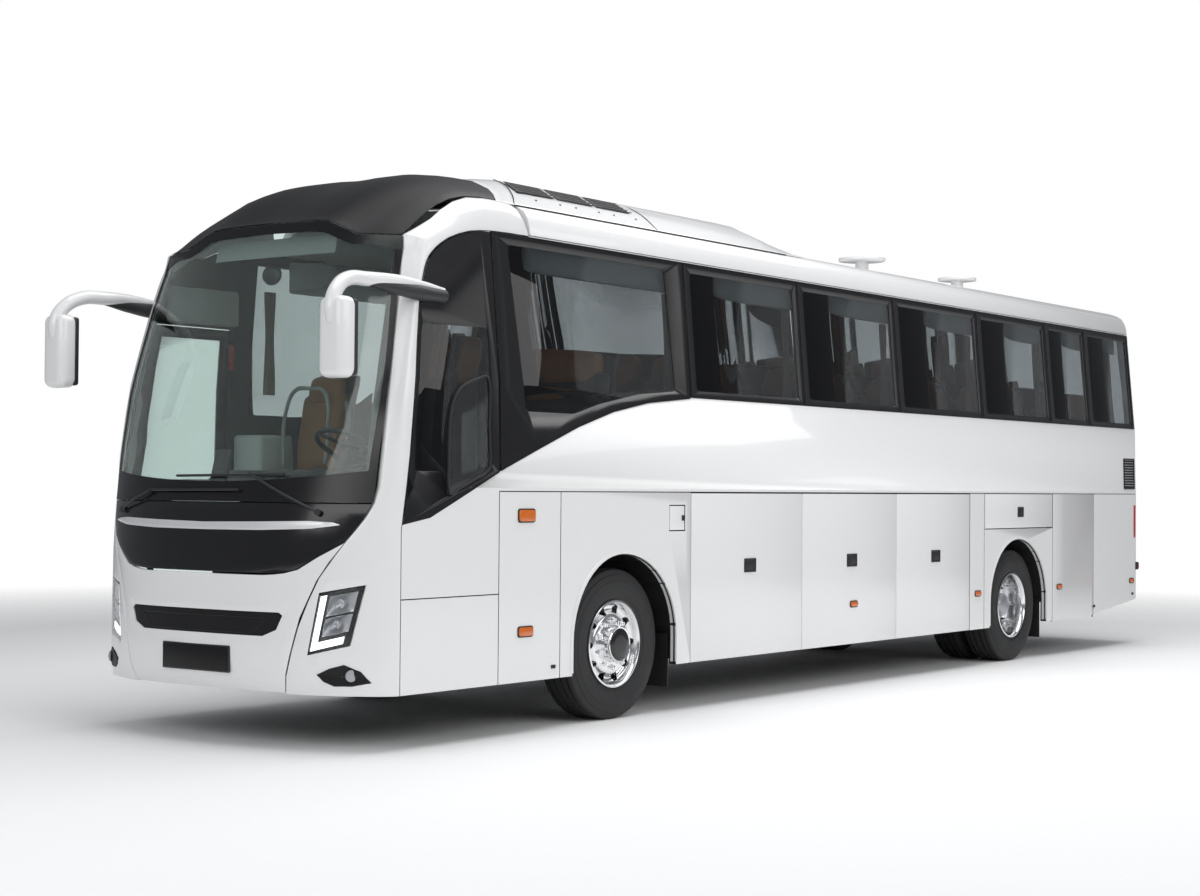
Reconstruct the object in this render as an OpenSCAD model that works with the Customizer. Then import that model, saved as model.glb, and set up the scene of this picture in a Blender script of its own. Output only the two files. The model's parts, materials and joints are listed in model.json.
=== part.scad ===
// Two-axle touring coach, left-hand drive.
// Millimetres, X forward, Y to the coach's left, Z up, origin on the ground below the middle of the
// whole length (mirrors included). Inside the modules X is measured from the front axle.

/* [Body] */
// Length of the body, nose to tail
body_length = 12250; // [11900:10:14700]
// Width of the body at the waist
body_width = 2550; // [2120:10:3060]
// From the front axle forward to the nose
front_overhang = 2745; // [2745:5:2900]
// Distance between the axles
wheelbase = 6366; // [6200:2:7640]
// Height of the sill above the ground
sill_z = 342; // [320:1:360]
// Height of the seam between the lower doors and the upper side
waist_z = 1578; // [1560:1:1600]
// Thickness of the side walls
wall = 60; // [50:1:70]
// Gap between two fixed panels
panel_gap = 6; // [4:1:8]
// Gap round a moving door or lid
door_gap = 8; // [7:1:10]

/* [Windows] */
// Lower edge of the glass behind the first pane
glass_bottom_z = 2265; // [2200:5:2300]
// Upper edge of the glass
glass_top_z = 3260; // [3200:5:3262]
// Thickness of a bonded side pane
pane_t = 10; // [6:1:14]

/* [Wheels] */
// Radius of a tyre
tyre_r = 523; // [436:1:530]
// Width of a tyre
tyre_w = 298; // [250:1:300]
// From the middle of the coach to the middle of an outer tyre
wheel_y = 1072; // [1060:1:1080]
// From the outer to the inner twin tyre
twin_pitch = 335; // [330:1:350]
// Radius of the wheel's flange
flange_r = 303; // [240:1:303]
// From the middle of the coach to a kingpin
kingpin_y = 850; // [840:1:860]

/* [Interior] */
// Height of the passenger deck
deck_z = 1400; // [1350:5:1450]
// Height of the floor beside the driver
cab_floor_z = 1250; // [1200:5:1300]
// Distance between seat rows
seat_pitch = 830; // [760:2:1000]
// Number of seat rows
seat_rows = 11; // [8:1:11]

/* [Mirrors and fittings] */
// How far the mirrors reach ahead of the nose
mirror_lead = 200; // [180:5:220]
// Radius of the bore in the towing eye
tow_eye_r = 20; // [15:1:25]

/* [Hidden] */

white = "white";
black = [0.07, 0.07, 0.08];
dark = [0.2, 0.2, 0.22];

half_w = body_width / 2;
front_axle_x = (body_length + mirror_lead) / 2 - mirror_lead - front_overhang;
rear_x = front_overhang - body_length;
rear_axle_x = -wheelbase;
tail_depth = 250;
corner_x = 2285;        // rear edge of the front corner, below the waist
bay_front_x = -843;
bay_rear_x = rear_axle_x + 1015;
arch_front_x = rear_axle_x + 720;
arch_rear_x = rear_axle_x - 782;
tail_seam_x = rear_x + tail_depth;
shoulder_z = 1600;
rail_z = 3265;
rail_in = 103;          // how far the rail lies inside the waist
far = 4000;

function lerp(a, b, t) = a + (b - a) * t;
function sum(v, n) = n <= 0 ? 0 : v[n - 1] + sum(v, n - 1);
function reverse(v) = [for (i = [len(v) - 1:-1:0]) v[i]];
// Half width of the body at height z
function side_y(z) = half_w - lookup(z, [[shoulder_z, 0], [2270, 15], [rail_z, rail_in]]);

// Lengths of the luggage bays and of the panes, stretched to fill their stretch of the side
bay_share = [1569, 1553, 1386];
bay_len = bay_front_x - bay_rear_x;
bay_x = [for (i = [0:3]) bay_front_x - bay_len * sum(bay_share, i) / sum(bay_share, 3)];
pane_share = [2197, 1615, 1593, 1598, 1501, 950, 1146];
pane_front_x = 1340;
pane_x = [for (i = [0:7]) pane_front_x - (pane_front_x - tail_seam_x) * sum(pane_share,
    i) / sum(pane_share, 7)];

// ---- front surface ----
// [height, distance ahead of the front axle] of the nose, of the start of the corner and of its rear edge
nose_line = [[340, 2690], [450, 2735], [600, 2745], [1200, 2728], [1370, 2700], [1500, 2662],
    [1630, 2620], [2400, 2415], [3190, 2204], [3290, 2170]];
turn_line = [[340, 2300], [1800, 2290], [2200, 2240], [2500, 2170], [2800, 2092], [3000, 2025], [3100,
    1975]];
pillar_line = [[340, corner_x], [1340, corner_x], [1820, 2205], [2080, 2174], [2410, 2135], [2745, 2079],
    [2970, 2013], [3060, 1964]];
nose_shift = front_overhang - 2745;
// A point of the front at a share v of the half width (-1 to 1) and height z, t below the surface
function front(v, z, t = 0) =
    let (a = min(1, abs(v)), x0 = lookup(z, turn_line), x1 = lookup(z, nose_line) + nose_shift - t)
    [x0 + (x1 - x0) * pow(1 - pow(a, 2.8), 0.74), v * (side_y(z) - t), z];
// The same for the rear, whose corners are tighter
function back(v, z, t = 0) =
    let (a = min(1, abs(v)), x0 = tail_seam_x, x1 = rear_x + lookup(z, [[1500, 0], [rail_z, 60]]) + t)
    [x0 + (x1 - x0) * pow(1 - pow(a, 5), 0.6), v * (side_y(z) - t), z];

// Edge of the dark middle of the front, as a share of the half width
dark_edge = [[1071, 0.41], [1078, 0.5], [1096, 0.595], [1208, 0.735], [1273, 0.816], [1389, 0.878],
    [1500, 0.915],
    [1600, 0.93], [1816, 0.94], [2280, 0.933], [2742, 0.927], [3164, 0.9]];
// Lower edge of the dark middle: height for a share of the half width
dark_foot = [for (p = dark_edge) if (p[0] < 1300) [p[1], p[0]]];
// Seam between bumper and corner
bumper_edge = [[340, 0.526], [808, 0.621], [1069, 0.711], [1272, 0.82]];
bumper_foot_z = 350;
cowl_z = 1500;
screen_top = [[0, 3294], [0.43, 3288], [0.546, 3235], [0.642, 3183], [0.9, 3164]];
function bumper_top(s, z, n) = n == 0 ? z : bumper_top(s, lookup(s * lookup(z, bumper_edge), dark_foot),
    n - 1);
// Seam of the corner on the middle pieces
function corner_in(z) = z < 1272 ? lookup(z, bumper_edge) : lookup(z, dark_edge);

// A curved sheet: two grids of points, outside and inside, as one closed body
module sheet(outer, inner, flip = false) {
    rows = len(outer);
    cols = len(outer[0]);
    n = rows * cols;
    pts = concat([for (r = outer) each r], [for (r = inner) each r]);
    function at(r, c, s) = s * n + r * cols + c;
    quads = concat(
        [for (r = [0:rows - 2], c = [0:cols - 2]) [at(r, c, 0), at(r, c + 1, 0), at(r + 1, c + 1, 0),
            at(r + 1, c, 0)]],
        [for (r = [0:rows - 2], c = [0:cols - 2]) [at(r, c, 1), at(r + 1, c, 1), at(r + 1, c + 1, 1),
            at(r, c + 1, 1)]],
        [for (c = [0:cols - 2]) [at(0, c, 1), at(0, c + 1, 1), at(0, c + 1, 0), at(0, c, 0)]],
        [for (c = [0:cols - 2]) [at(rows - 1, c, 0), at(rows - 1, c + 1, 0), at(rows - 1, c + 1, 1),
            at(rows - 1, c, 1)]],
        [for (r = [0:rows - 2]) [at(r, 0, 0), at(r + 1, 0, 0), at(r + 1, 0, 1), at(r, 0, 1)]],
        [for (r = [0:rows - 2]) [at(r, cols - 1, 1), at(r + 1, cols - 1, 1), at(r + 1, cols - 1, 0),
            at(r, cols - 1, 0)]]);
    tris = [for (q = quads) each [[q[0], q[1], q[2]], [q[0], q[2], q[3]]]];
    polyhedron(pts, flip ? tris : [for (t = tris) [t[0], t[2], t[1]]], convexity = 6);
}

module place() translate([front_axle_x, 0, 0]) children();
module both() { children(); mirror([0, 1, 0]) children(); }
module along_x(x0, x1) translate([x0, 0, 0]) rotate([90, 0, 90]) linear_extrude(x1 - x0) children();
module through_y(y0, y1) translate([0, y1, 0]) rotate([90, 0, 0]) linear_extrude(y1 - y0) children();
module block(x0, x1, y0, y1, z0, z1) translate([x0, y0, z0]) cube([x1 - x0, y1 - y0, z1 - z0]);

// The left wall's slab between two depths below its surface
module wall_slab(x0, x1, t0, t1, z0 = 0, z1 = rail_z)
    along_x(x0, x1) polygon(concat(
        [for (z = [z0, shoulder_z, 2270, z1]) if (z == z0 || (z > z0 && z <= z1)) [side_y(z) - t0, z]],
        [for (z = [z1, 2270, shoulder_z, z0]) if (z == z0 || (z > z0 && z <= z1)) [side_y(z) - t1, z]]));

corner_z = [sill_z, 450, 600, 750, 900, 1050, 1180, 1273, 1340, 1420, 1500, 1600, 1800, 2080, 2280, 2500,
    2745, 2900];
// Slanting rows at the head of the pillar: [rear edge x, its height, height at the windscreen]
pillar_rows = [[2013, 2958, 3000], [1990, 3002, 3080], [1964, 3038, 3156]];
arch_end_x = 950;
// Rows of the arch over the cab: [rear edge x, its height, share along the dome's edge]
arch_rows = [[1929, 3071, 0.005], [1890, 3102, 0.03], [1848, 3129, 0.06], [1768, 3171, 0.12], [1663,
    3209, 0.2],
    [1559, 3237, 0.32], [1450, 3252, 0.46], [1316, 3262, 0.64], [1150, 3266, 0.85], [1050, 3266, 1],
        [arch_end_x, 3266, 1]];
// Rear edge of the corner at a height, and its whole side view moved back and down by a gap
function corner_rear(z) = min(lookup(z, pillar_line), lookup(z, turn_line) - 4);
function corner_edge(gap) = concat([for (z = corner_z) if (z >= 1180) [corner_rear(z) - gap, z]],
    [for (r = concat(pillar_rows, arch_rows)) [r[0] - gap * (r[1] > 3255 ? 0.1 : 0.75),
        r[1] - gap * (r[1] > 3255 ? 1 : 0.75)]]);

// Outlines in the side view, as [x, z]
sweep = [[1349, 1702], [937, 1857], [504, 2014], [105, 2129], [-313, 2207], [-830, 2256]];
cab_glass = concat([[corner_rear(1372) - panel_gap, 1372], [2022, 1413], [1863, 1480], [1644, 1573],
    [1349, 1702],
    [1349, min(glass_top_z, 3250)]],
        reverse([for (p = corner_edge(panel_gap)) if (p[1] > 1372 && p[0] > 1355) p]));
cab_hole = [[2145, 1700], [1900, 1610], [1420, 1760], [1420, 2640], [2060, 2625], [2110, 2300]];
first_pane = concat([[pane_front_x, 1706]],
    [for (p = sweep) if (p[0] < pane_front_x && p[0] > pane_x[1] + 20) p],
    [[pane_x[1] + panel_gap, 2260], [pane_x[1] + panel_gap, glass_top_z], [pane_front_x, glass_top_z]]);
function pane_box(i) = [[pane_x[i], glass_bottom_z], [pane_x[i + 1] + panel_gap, glass_bottom_z],
    [pane_x[i + 1] + panel_gap, glass_top_z], [pane_x[i], glass_top_z]];
first_hole = [[1185, 2110], [561, 2110], [280, 2190], [-190, 2290], [pane_x[1] + 210, 2320],
    [pane_x[1] + 210, 3190], [1185, 3190]];
function pane_hole(i) = [[pane_x[i] - 65, 2310], [pane_x[i + 1] + 75, 2310], [pane_x[i + 1] + 75, 3190],
    [pane_x[i] - 65, 3190]];

front_door_x = [1380, corner_x - 14];
mid_door_x = [bay_x[3] + 60, bay_x[3] + 900];
door_z = [400, 2700];
door_t = 42;
arch_top_z = 1154;
// The wheel arch's outline round an axle
function arch_outline(x, front_reach, rear_reach) = concat(
    [for (i = [0:12]) let (a = 180 * i / 12) [x + (a < 90 ? front_reach : rear_reach) * cos(a),
        560 + (arch_top_z - 560) * sin(a)]],
    [[x - rear_reach, 0], [x + front_reach, 0]]);

locker_z = [1255, 1573];
locker_x = [arch_rear_x + 6, arch_front_x - 20];
fuel_x = [-757, -571];
fuel_z = [1305, 1479];

// Outline of a passenger door, grown all round; the front door's edge leans with the pillar
function door_outline(x, grow, front) = let (z0 = door_z[0] - (grow > 0 ? 500 : 0), z1 = door_z[1] + grow)
    front ? concat([[x[0] - grow, z1], [x[0] - grow, z0], [x[1] + grow, z0], [x[1] + grow, 1340]],
        [for (p = pillar_line) if (p[0] > 1400 && p[0] < 2700) [p[1] - 14 + grow, p[0]]],
        [[lookup(2700, pillar_line) - 14 + grow, z1]])
    : [[x[0] - grow, z1], [x[0] - grow, z0], [x[1] + grow, z0], [x[1] + grow, z1]];
module rect_xz(x, z, grow = 0) polygon([[x[0] - grow, z[0] - grow], [x[1] + grow, z[0] - grow],
    [x[1] + grow, z[1] + grow], [x[0] - grow, z[1] + grow]]);
// Luggage bays as [front x, rear x] for a side
function bays(side) = side > 0 ? [0, 1, 2] : [0, 1];

module side_wall(side) color(white) place() mirror([0, side > 0 ? 0 : 1, 0]) difference() {
    wall_slab(tail_seam_x + panel_gap / 2, corner_x - panel_gap, 0, wall, sill_z);
    // glass recesses and window openings
    through_y(half_w - rail_in - pane_t - 120, half_w + 50) {
        if (side > 0) polygon(cab_hole);
        polygon(first_hole);
        for (i = [1:6]) polygon(pane_hole(i));
    }
    intersection() {
        wall_slab(tail_seam_x - 10, corner_x + 10, -20, pane_t + 2, 1300, rail_z + 10);
        through_y(0, far) union() {
            polygon(cab_glass);
            polygon(first_pane);
            for (i = [1:6]) polygon(pane_box(i));
            rect_xz([pane_front_x - 1, 1350], [1708, glass_top_z]);
            for (i = [1:6]) rect_xz([pane_x[i] - 1, pane_x[i] + panel_gap + 1], [glass_bottom_z,
                glass_top_z]);
        }
    }
    // front edge above the waist follows the pillar
    through_y(0, far) polygon(concat(corner_edge(panel_gap), [[arch_end_x - panel_gap, 3400], [far,
        3400], [far, 340]]));
    through_y(0, far) polygon(arch_outline(0, 570, 660));
    through_y(0, far) polygon(arch_outline(rear_axle_x, 600, 640));
    // rising tail
    through_y(0, far) polygon([[arch_rear_x - 950, 0], [arch_rear_x - 950, 352], [tail_seam_x - 50, 476],
        [tail_seam_x - 50, 0]]);
    for (i = bays(side)) through_y(0, far) rect_xz([bay_x[i + 1], bay_x[i]], [0, waist_z]);
    if (side > 0) {
        through_y(0, far) rect_xz(locker_x, locker_z, door_gap);
        through_y(0, far) rect_xz(fuel_x, fuel_z, door_gap);
    } else {
        through_y(0, far) polygon(door_outline(front_door_x, door_gap, true));
        through_y(0, far) polygon(door_outline(mid_door_x, door_gap, false));
    }
}

module pane(outline) intersection() {
    wall_slab(tail_seam_x, corner_x, 0, pane_t, 1300, rail_z);
    through_y(0, far) polygon(outline);
}
// Glass loses a strip where a passenger door stands in front of it
module door_clear(x, front) through_y(0, far) polygon(door_outline(x, 2 * door_gap, front));
module body_glass() color(black) place() {
    pane(cab_glass);
    pane(first_pane);
    for (i = [1:6]) pane(pane_box(i));
    mirror([0, 1, 0]) {
        difference() { pane(cab_glass); door_clear(front_door_x, true); }
        difference() { pane(first_pane); door_clear(mid_door_x, false); }
        for (i = [1:6]) difference() { pane(pane_box(i)); door_clear(mid_door_x, false); }
    }
    rear_patch(0.75, 2262, 3150, 10, 10);
}
module side_wall_left() side_wall(1);
module side_wall_right() side_wall(-1);

// ---- roof ----
// Roof's outer line as [half width, height], from the rail to the middle
rail_y = half_w - rail_in;
roof_line = [[rail_y, rail_z + 6], [rail_y - 8, 3330], [rail_y - 28, 3395], [rail_y - 62, 3442],
    [rail_y - 120, 3474], [rail_y - 200, 3500], [700, 3540], [350, 3566], [0, 3575]];
roof_t = 50;
module roof_shell() color(white) place() along_x(tail_seam_x + panel_gap, arch_end_x - 22) polygon(concat(
    roof_line, [for (i = [7:-1:0]) [-roof_line[i][0], roof_line[i][1]]],
    [for (i = [0:7]) [-roof_line[i][0] + roof_t, roof_line[i][1] - (i > 3 ? roof_t : 20 * min(i, 2))]],
    [[0, 3525]],
    [for (i = [7:-1:0]) [roof_line[i][0] - roof_t, roof_line[i][1] - (i > 3 ? roof_t : 20 * min(i, 2))]]));
function roof_z(y) = lookup(abs(y), [[0, 3575], [350, 3566], [700, 3540], [rail_y - 200, 3500],
    [rail_y - 120, 3474],
    [rail_y - 62, 3442]]);

dome_a = [for (i = [-12:12]) i / 12 * 0.985];
// Pod's outer line: height for a distance from the middle
pod_y = rail_y - 120;
pod_line = [[0, 3800], [300, 3788], [490, 3757], [700, 3702], [890, 3605], [1000, 3525], [pod_y, 3486]];
function pod_top(y) = lookup(abs(y), pod_line);
pod_rear_x = -2780;
// Rear edge of the black dome
function dome_end_x(y) = lookup(abs(y), [[0, 600], [150, 667], [500, 880], [640, 950], [900, 1010],
    [pod_y, 1150]]);
// The pod dips where it meets the dome
function pod_dip(y) = 62 * (1 - pow(y / pod_y, 2));
pod_share = [0, 0.02, 0.05, 0.1, 0.18, 0.4, 0.7, 0.86, 0.9, 0.94, 0.97, 1];
function pod_pt(y, u, top) =
    let (x = lerp(dome_end_x(y) - panel_gap, pod_rear_x, u), fall = pow(max(0, (u - 0.86) / 0.14), 1.4),
        low = roof_z(y) + 4, dip = pod_dip(y) * pow(1 - min(1, u / 0.15), 2))
    [x, y, top ? max(low + 8, lerp(pod_top(y) - dip, low + 8, fall)) : low];
pod_cols = concat([-1], dome_a, [1]);
module roof_pod() color(white) place() sheet(
    [for (u = pod_share) [for (c = pod_cols) pod_pt(c * pod_y, u, true)]],
    [for (u = pod_share) [for (c = pod_cols) pod_pt(c * pod_y, u, false)]]);

// Disc aerials: [x, y, radius, height of the disc]
aerials = [[-5085, 300, 215, 3715], [-7019, 300, 190, 3700]];
module roof_aerials() color(white) place() for (d = aerials) translate([d[0], d[1], 0]) {
    translate([0, 0, 3577]) cylinder(r = 60, h = d[3] - 3577, $fn = 48);
    translate([0, 0, d[3]]) cylinder(r = d[2], h = 28, $fn = 72);
}

// A cap that climbs from a lower edge point a to an upper edge point b
function cap_pt(a, b, u, n, m) = let (f = pow(1 - pow(1 - u, n), 1 / m))
    [lerp(a[0], b[0], u), lerp(a[1], b[1], u), lerp(a[2], b[2], f)];
function dome_start(a, t = 0) = front(0.9 * a, lookup(abs(0.9 * a), screen_top) + panel_gap, t);
function dome_stop(a) = let (y = a * pod_y) [dome_end_x(y), y, pod_top(y) - pod_dip(y)];
function dome_pt(a, u, t = 0) =
    let (k = pow(abs(a), 4.3), p = cap_pt(dome_start(a, t), dome_stop(a), u, lerp(2.92, 3.19, k),
        lerp(0.82, 0.7, k)))
    [p[0], p[1] * (1 - t / 1100 * u), p[2] - t * u];
dome_u = [0, 0.02, 0.05, 0.09, 0.14, 0.2, 0.28, 0.38, 0.5, 0.65, 0.82, 1];
dome_t = 30;
module front_dome() color(black) place() sheet(
    [for (u = dome_u) [for (a = dome_a) dome_pt(a, u)]],
    [for (u = dome_u) [for (a = dome_a) dome_pt(a, u, dome_t)]]);

// ---- front corners with the arched pillars ----
corner_cols = 11;
corner_t = 40;
// A row from the dark middle, at height zh, to the rear edge [x, z]
function corner_row(zh, foot, t) = concat(
    [for (i = [0:corner_cols]) let (k = pow(1 - i / corner_cols,
        2)) front(1 - (1 - corner_in(zh) - 0.006) * k, lerp(foot[1], zh, k), t)],
    [[foot[0], side_y(foot[1]) - t, foot[1]]]);
function arch_row(r, t) =
    let (foot = [r[0], side_y(r[1]), r[1]], head0 = dome_pt(1, r[2]), head = [min(head0[0], r[0] + 150),
        head0[1] + 7, head0[2]],
        mid = [lerp(foot[0], head[0], 0.5) + 12, foot[1] + 4, lerp(foot[2], head[2], 0.9)])
    [for (i = [0:corner_cols + 1]) let (q = 1 - i / (corner_cols + 1),
        p = foot * (1 - q) * (1 - q) + mid * 2 * q * (1 - q) + head * q * q,
        d = [r[2] < 0.05 ? -0.5 : 0, 700 - p[1], (2900 - p[2]) * min(1, 3 * q)]) p + d * (t / norm(d))];
module corner_sheet() sheet(
    concat([for (z = corner_z) corner_row(z, [corner_rear(z), z], 0)],
        [for (r = pillar_rows) corner_row(r[2], r, 0)],
        [for (r = arch_rows) arch_row(r, 0)]),
    concat([for (z = corner_z) corner_row(z, [corner_rear(z), z], corner_t)],
        [for (r = pillar_rows) corner_row(r[2], r, corner_t)],
        [for (r = arch_rows) arch_row(r, corner_t)]));
// Headlamp: four corners as [share of half width, height]
lamp = [[0.717, 955], [0.898, 1006], [0.843, 652], [0.668, 590]];
function lamp_pt(s, u, t, g) =
    let (top = lerp(lamp[0], lamp[1], s), low = lerp(lamp[3], lamp[2], s), p = lerp(low, top, u),
        v = p[0] + g * (s - 0.5) * 0.012, z = p[1] + g * (u - 0.5) * 12) front(v, z, t);
module lamp_sheet(t0, t1, g) sheet(
    [for (u = [0:0.25:1]) [for (s = [0:0.2:1]) lamp_pt(s, u, t0, g)]],
    [for (u = [0:0.25:1]) [for (s = [0:0.2:1]) lamp_pt(s, u, t1, g)]]);
module front_corners() color(white) place() both() difference() {
    corner_sheet();
    lamp_sheet(-60, 120, 1);
}
module headlamps() color("silver") place() both() lamp_sheet(4, 110, -1);

// ---- bumper, dark panel, windscreen ----
middle = [for (i = [-12:12]) i / 12];
function bumper_pt(s, u, t) =
    let (top = bumper_top(abs(s), 1100, 8) - panel_gap - 6, z = lerp(bumper_foot_z, top, u))
    front(s * (lookup(z, bumper_edge) - 0.002), z, t);
bumper_t = 30;
// Left half of the air intake, as [distance from the middle, height]
mouth = [[537, 690], [636, 731], [676, 818], [650, 836]];
module bumper_sheet(u0, u1, t0, t1, s0 = -1, s1 = 1) sheet(
    [for (i = [0:8]) [for (s = middle) bumper_pt(lerp(s0, s1, (s + 1) / 2), lerp(u0, u1, i / 8), t0)]],
    [for (i = [0:8]) [for (s = middle) bumper_pt(lerp(s0, s1, (s + 1) / 2), lerp(u0, u1, i / 8), t1)]]);
module front_bumper() color(white) place() difference() {
    bumper_sheet(0, 1, 0, bumper_t);
    along_x(2400, 2900) polygon(concat(mouth, reverse([for (p = mouth) [-p[0], p[1]]])));
}
panel_z = [1071, 1078, 1096, 1150, 1208, 1273, 1330, 1389, 1440, cowl_z - panel_gap / 2];
function panel_row(z, t) = [for (s = middle) front(s * (lookup(z, dark_edge) - 0.004), z, t)];
module front_panel() color(black) place() sheet([for (z = panel_z) panel_row(z, 0)],
    [for (z = panel_z) panel_row(z, 25)]);
screen_s = [for (i = [-14:14]) i / 14];
function screen_pt(s, u, t) =
    let (vt = lerp(0.913, 0.9, u) + 0.024 * sin(180 * u), v = s * vt, z = lerp(cowl_z + panel_gap / 2,
        lookup(abs(s * 0.9), screen_top), u))
    front(v, z, t);
module windscreen() color([0.5, 0.6, 0.58, 0.5]) place() sheet(
    [for (i = [0:14]) [for (s = screen_s) screen_pt(s, i / 14, 0)]],
    [for (i = [0:14]) [for (s = screen_s) screen_pt(s, i / 14, 9)]]);

// ---- rear ----
rear_cols = [for (i = [-10:10]) let (q = i / 10) sign(q) * (1 - pow(1 - abs(q), 2.2))];
module rear_patch(v1, z0, z1, t, rows = 6, v0 = 0) sheet(
    [for (i = [0:rows]) [for (q = rear_cols) back(v1 * q, lerp(z0, z1, i / rows), 0)]],
    [for (i = [0:rows]) [for (q = rear_cols) back(v1 * q, lerp(z0, z1, i / rows), t)]], flip = true);
rear_side = [for (i = [0:8]) let (q = i / 8) 1 - (1 - 0.757) * pow(1 - q, 1.8)];
tail_foot_z = 476;
lid_z = [640, 1500];
rear_t = 45;
module rear_wall() color(white) place() {
    both() sheet(
        [for (z = [tail_foot_z, 1000, 1500, 2270, 2800, 3150]) [for (v = rear_side) back(v, z, 0)]],
        [for (z = [tail_foot_z, 1000, 1500, 2270, 2800, 3150]) [for (v = rear_side) back(v, z, rear_t)]],
            flip = true);
    rear_patch(0.75, tail_foot_z, lid_z[0] - door_gap, rear_t, 2);
    rear_patch(0.75, lid_z[1] + door_gap, 2256, rear_t, 4);
    cap_sheet();
}
function roof_end(a) = let (y = a * rail_y) [tail_seam_x, y, a * a < 0.999 ? roof_z_full(y) : rail_z + 6];
function roof_z_full(y) = lookup(abs(y), [for (i = [8:-1:0]) roof_line[i]]);
function cap_rear(a, u, t) = let (p = cap_pt(back(a, 3156, t), roof_end(a), u, 2.2, 1.5))
    [p[0], p[1] * (1 - t / 1172 * u), p[2] - t * u];
cap_a = [for (i = [-12:12]) let (q = i / 12) sign(q) * (1 - pow(1 - abs(q), 1.6))];
module cap_sheet() sheet(
    [for (u = [0, 0.04, 0.1, 0.2, 0.35, 0.55, 0.8, 1]) [for (a = cap_a) cap_rear(a, u, 0)]],
    [for (u = [0, 0.04, 0.1, 0.2, 0.35, 0.55, 0.8, 1]) [for (a = cap_a) cap_rear(a, u, rear_t)]],
        flip = true);
module engine_lid() color(white) place() rear_patch(0.75, lid_z[0], lid_z[1], rear_t, 4);

// ---- lamps, wipers, mirrors ----
module rear_lamps() color("red") place() both() block(tail_seam_x + 14, tail_seam_x + 54,
    side_y(1300) + 1, side_y(1300) + 7, 1120, 1460);
// Side markers: [x, height, width, tall]
markers = [[1074, 1421, 170, 80], [1079, 667, 150, 62], [bay_x[2] + 730, 667, 115, 45],
    [arch_front_x + 130, 667, 115, 45], [arch_rear_x - 160, 667, 115, 45], [tail_seam_x + 110, 667, 115,
        45]];
module side_lamps() color("orange") place() both() for (m = markers)
    block(m[0] - m[2] / 2, m[0] + m[2] / 2, half_w + 0.5, half_w + 12, m[1] - m[3] / 2, m[1] + m[3] / 2);

// Wipers: [share of half width, height] at the pivot and at the tip; each hugs the glass
wiper_list = [[[0.09, 1530], [-0.62, 1560]], [[0.66, 1530], [0.03, 1590]]];
wiper_clear = 14;
function wiper_row(w, rise, t) = [for (i = [0:8]) front(lerp(w[0][0], w[1][0], i / 8), lerp(w[0][1],
    w[1][1], i / 8) + rise, t)];
module wipers() color(black) place() for (w = wiper_list)
    sheet([for (rise = [-9, 9]) wiper_row(w, rise, -wiper_clear - 22)], [for (rise = [-9,
        9]) wiper_row(w, rise, -wiper_clear)]);

// Hooked mirrors: an arm in three straight stretches, then the head
module rod(a, b, r) translate(a) let (d = b - a)
    rotate([0, acos(d[2] / norm(d)), atan2(d[1], d[0])]) cylinder(r = r, h = norm(d), $fn = 24);
mirror_x = front_overhang + mirror_lead - 105;
head_y = half_w - 22;
module mirrors() color(white) place() both() {
    rod([2160, side_y(2800) + 40, 2800], [2420, head_y - 50, 2850], 45);
    rod([2425, head_y - 50, 2850], [2700, head_y - 25, 2845], 42);
    rod([2705, head_y - 25, 2845], [mirror_x - 35, head_y, 2700], 40);
    hull() {
        translate([mirror_x, head_y, 2610]) rotate([90, 0, 0]) cylinder(r = 100, h = 170, center = true,
            $fn = 32);
        translate([mirror_x + 25, head_y, 2270]) rotate([90, 0, 0]) cylinder(r = 80, h = 190,
            center = true, $fn = 32);
    }
}

// ---- inside ----
inner_y = half_w - wall - 12;
deck_t = 60;
bay_floor_z = 360;
entry_step_z = 470;
bulkhead_t = 40;
// Wheel housings: [axle x, radius, inner wall's distance from the middle]; curved in flat strips
houses = [[0, 690, 505], [rear_axle_x, 660, 560]];
house_t = 8;
house_foot_z = 500;
strips = 10;
weld = 0.5;             // gap between two members that are welded together
function around(h, a, r) = [h[0] + r * cos(a), tyre_r + r * sin(a)];
module wheel_housings() color(black) place() both() for (h = houses) {
    for (i = [0:strips - 1]) let (a0 = 180 * i / strips + 0.03, a1 = 180 * (i + 1) / strips - 0.03)
        through_y(h[2], half_w - wall - 5)
            polygon([around(h, a0, h[1]), around(h, a0, h[1] + house_t), around(h, a1, h[1] + house_t),
                around(h, a1, h[1])]);
    difference() {
        through_y(h[2], h[2] + house_t) polygon(concat([[h[0] - h[1] + 20, house_foot_z],
            [h[0] + h[1] - 20, house_foot_z]],
            [for (i = [0:strips]) around(h, 180 * i / strips, h[1] - 2)]));
        block(h[0] - 80, h[0] + 80, h[2] - 5, h[2] + 20, 0, tyre_r + 80);
    }
}

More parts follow.
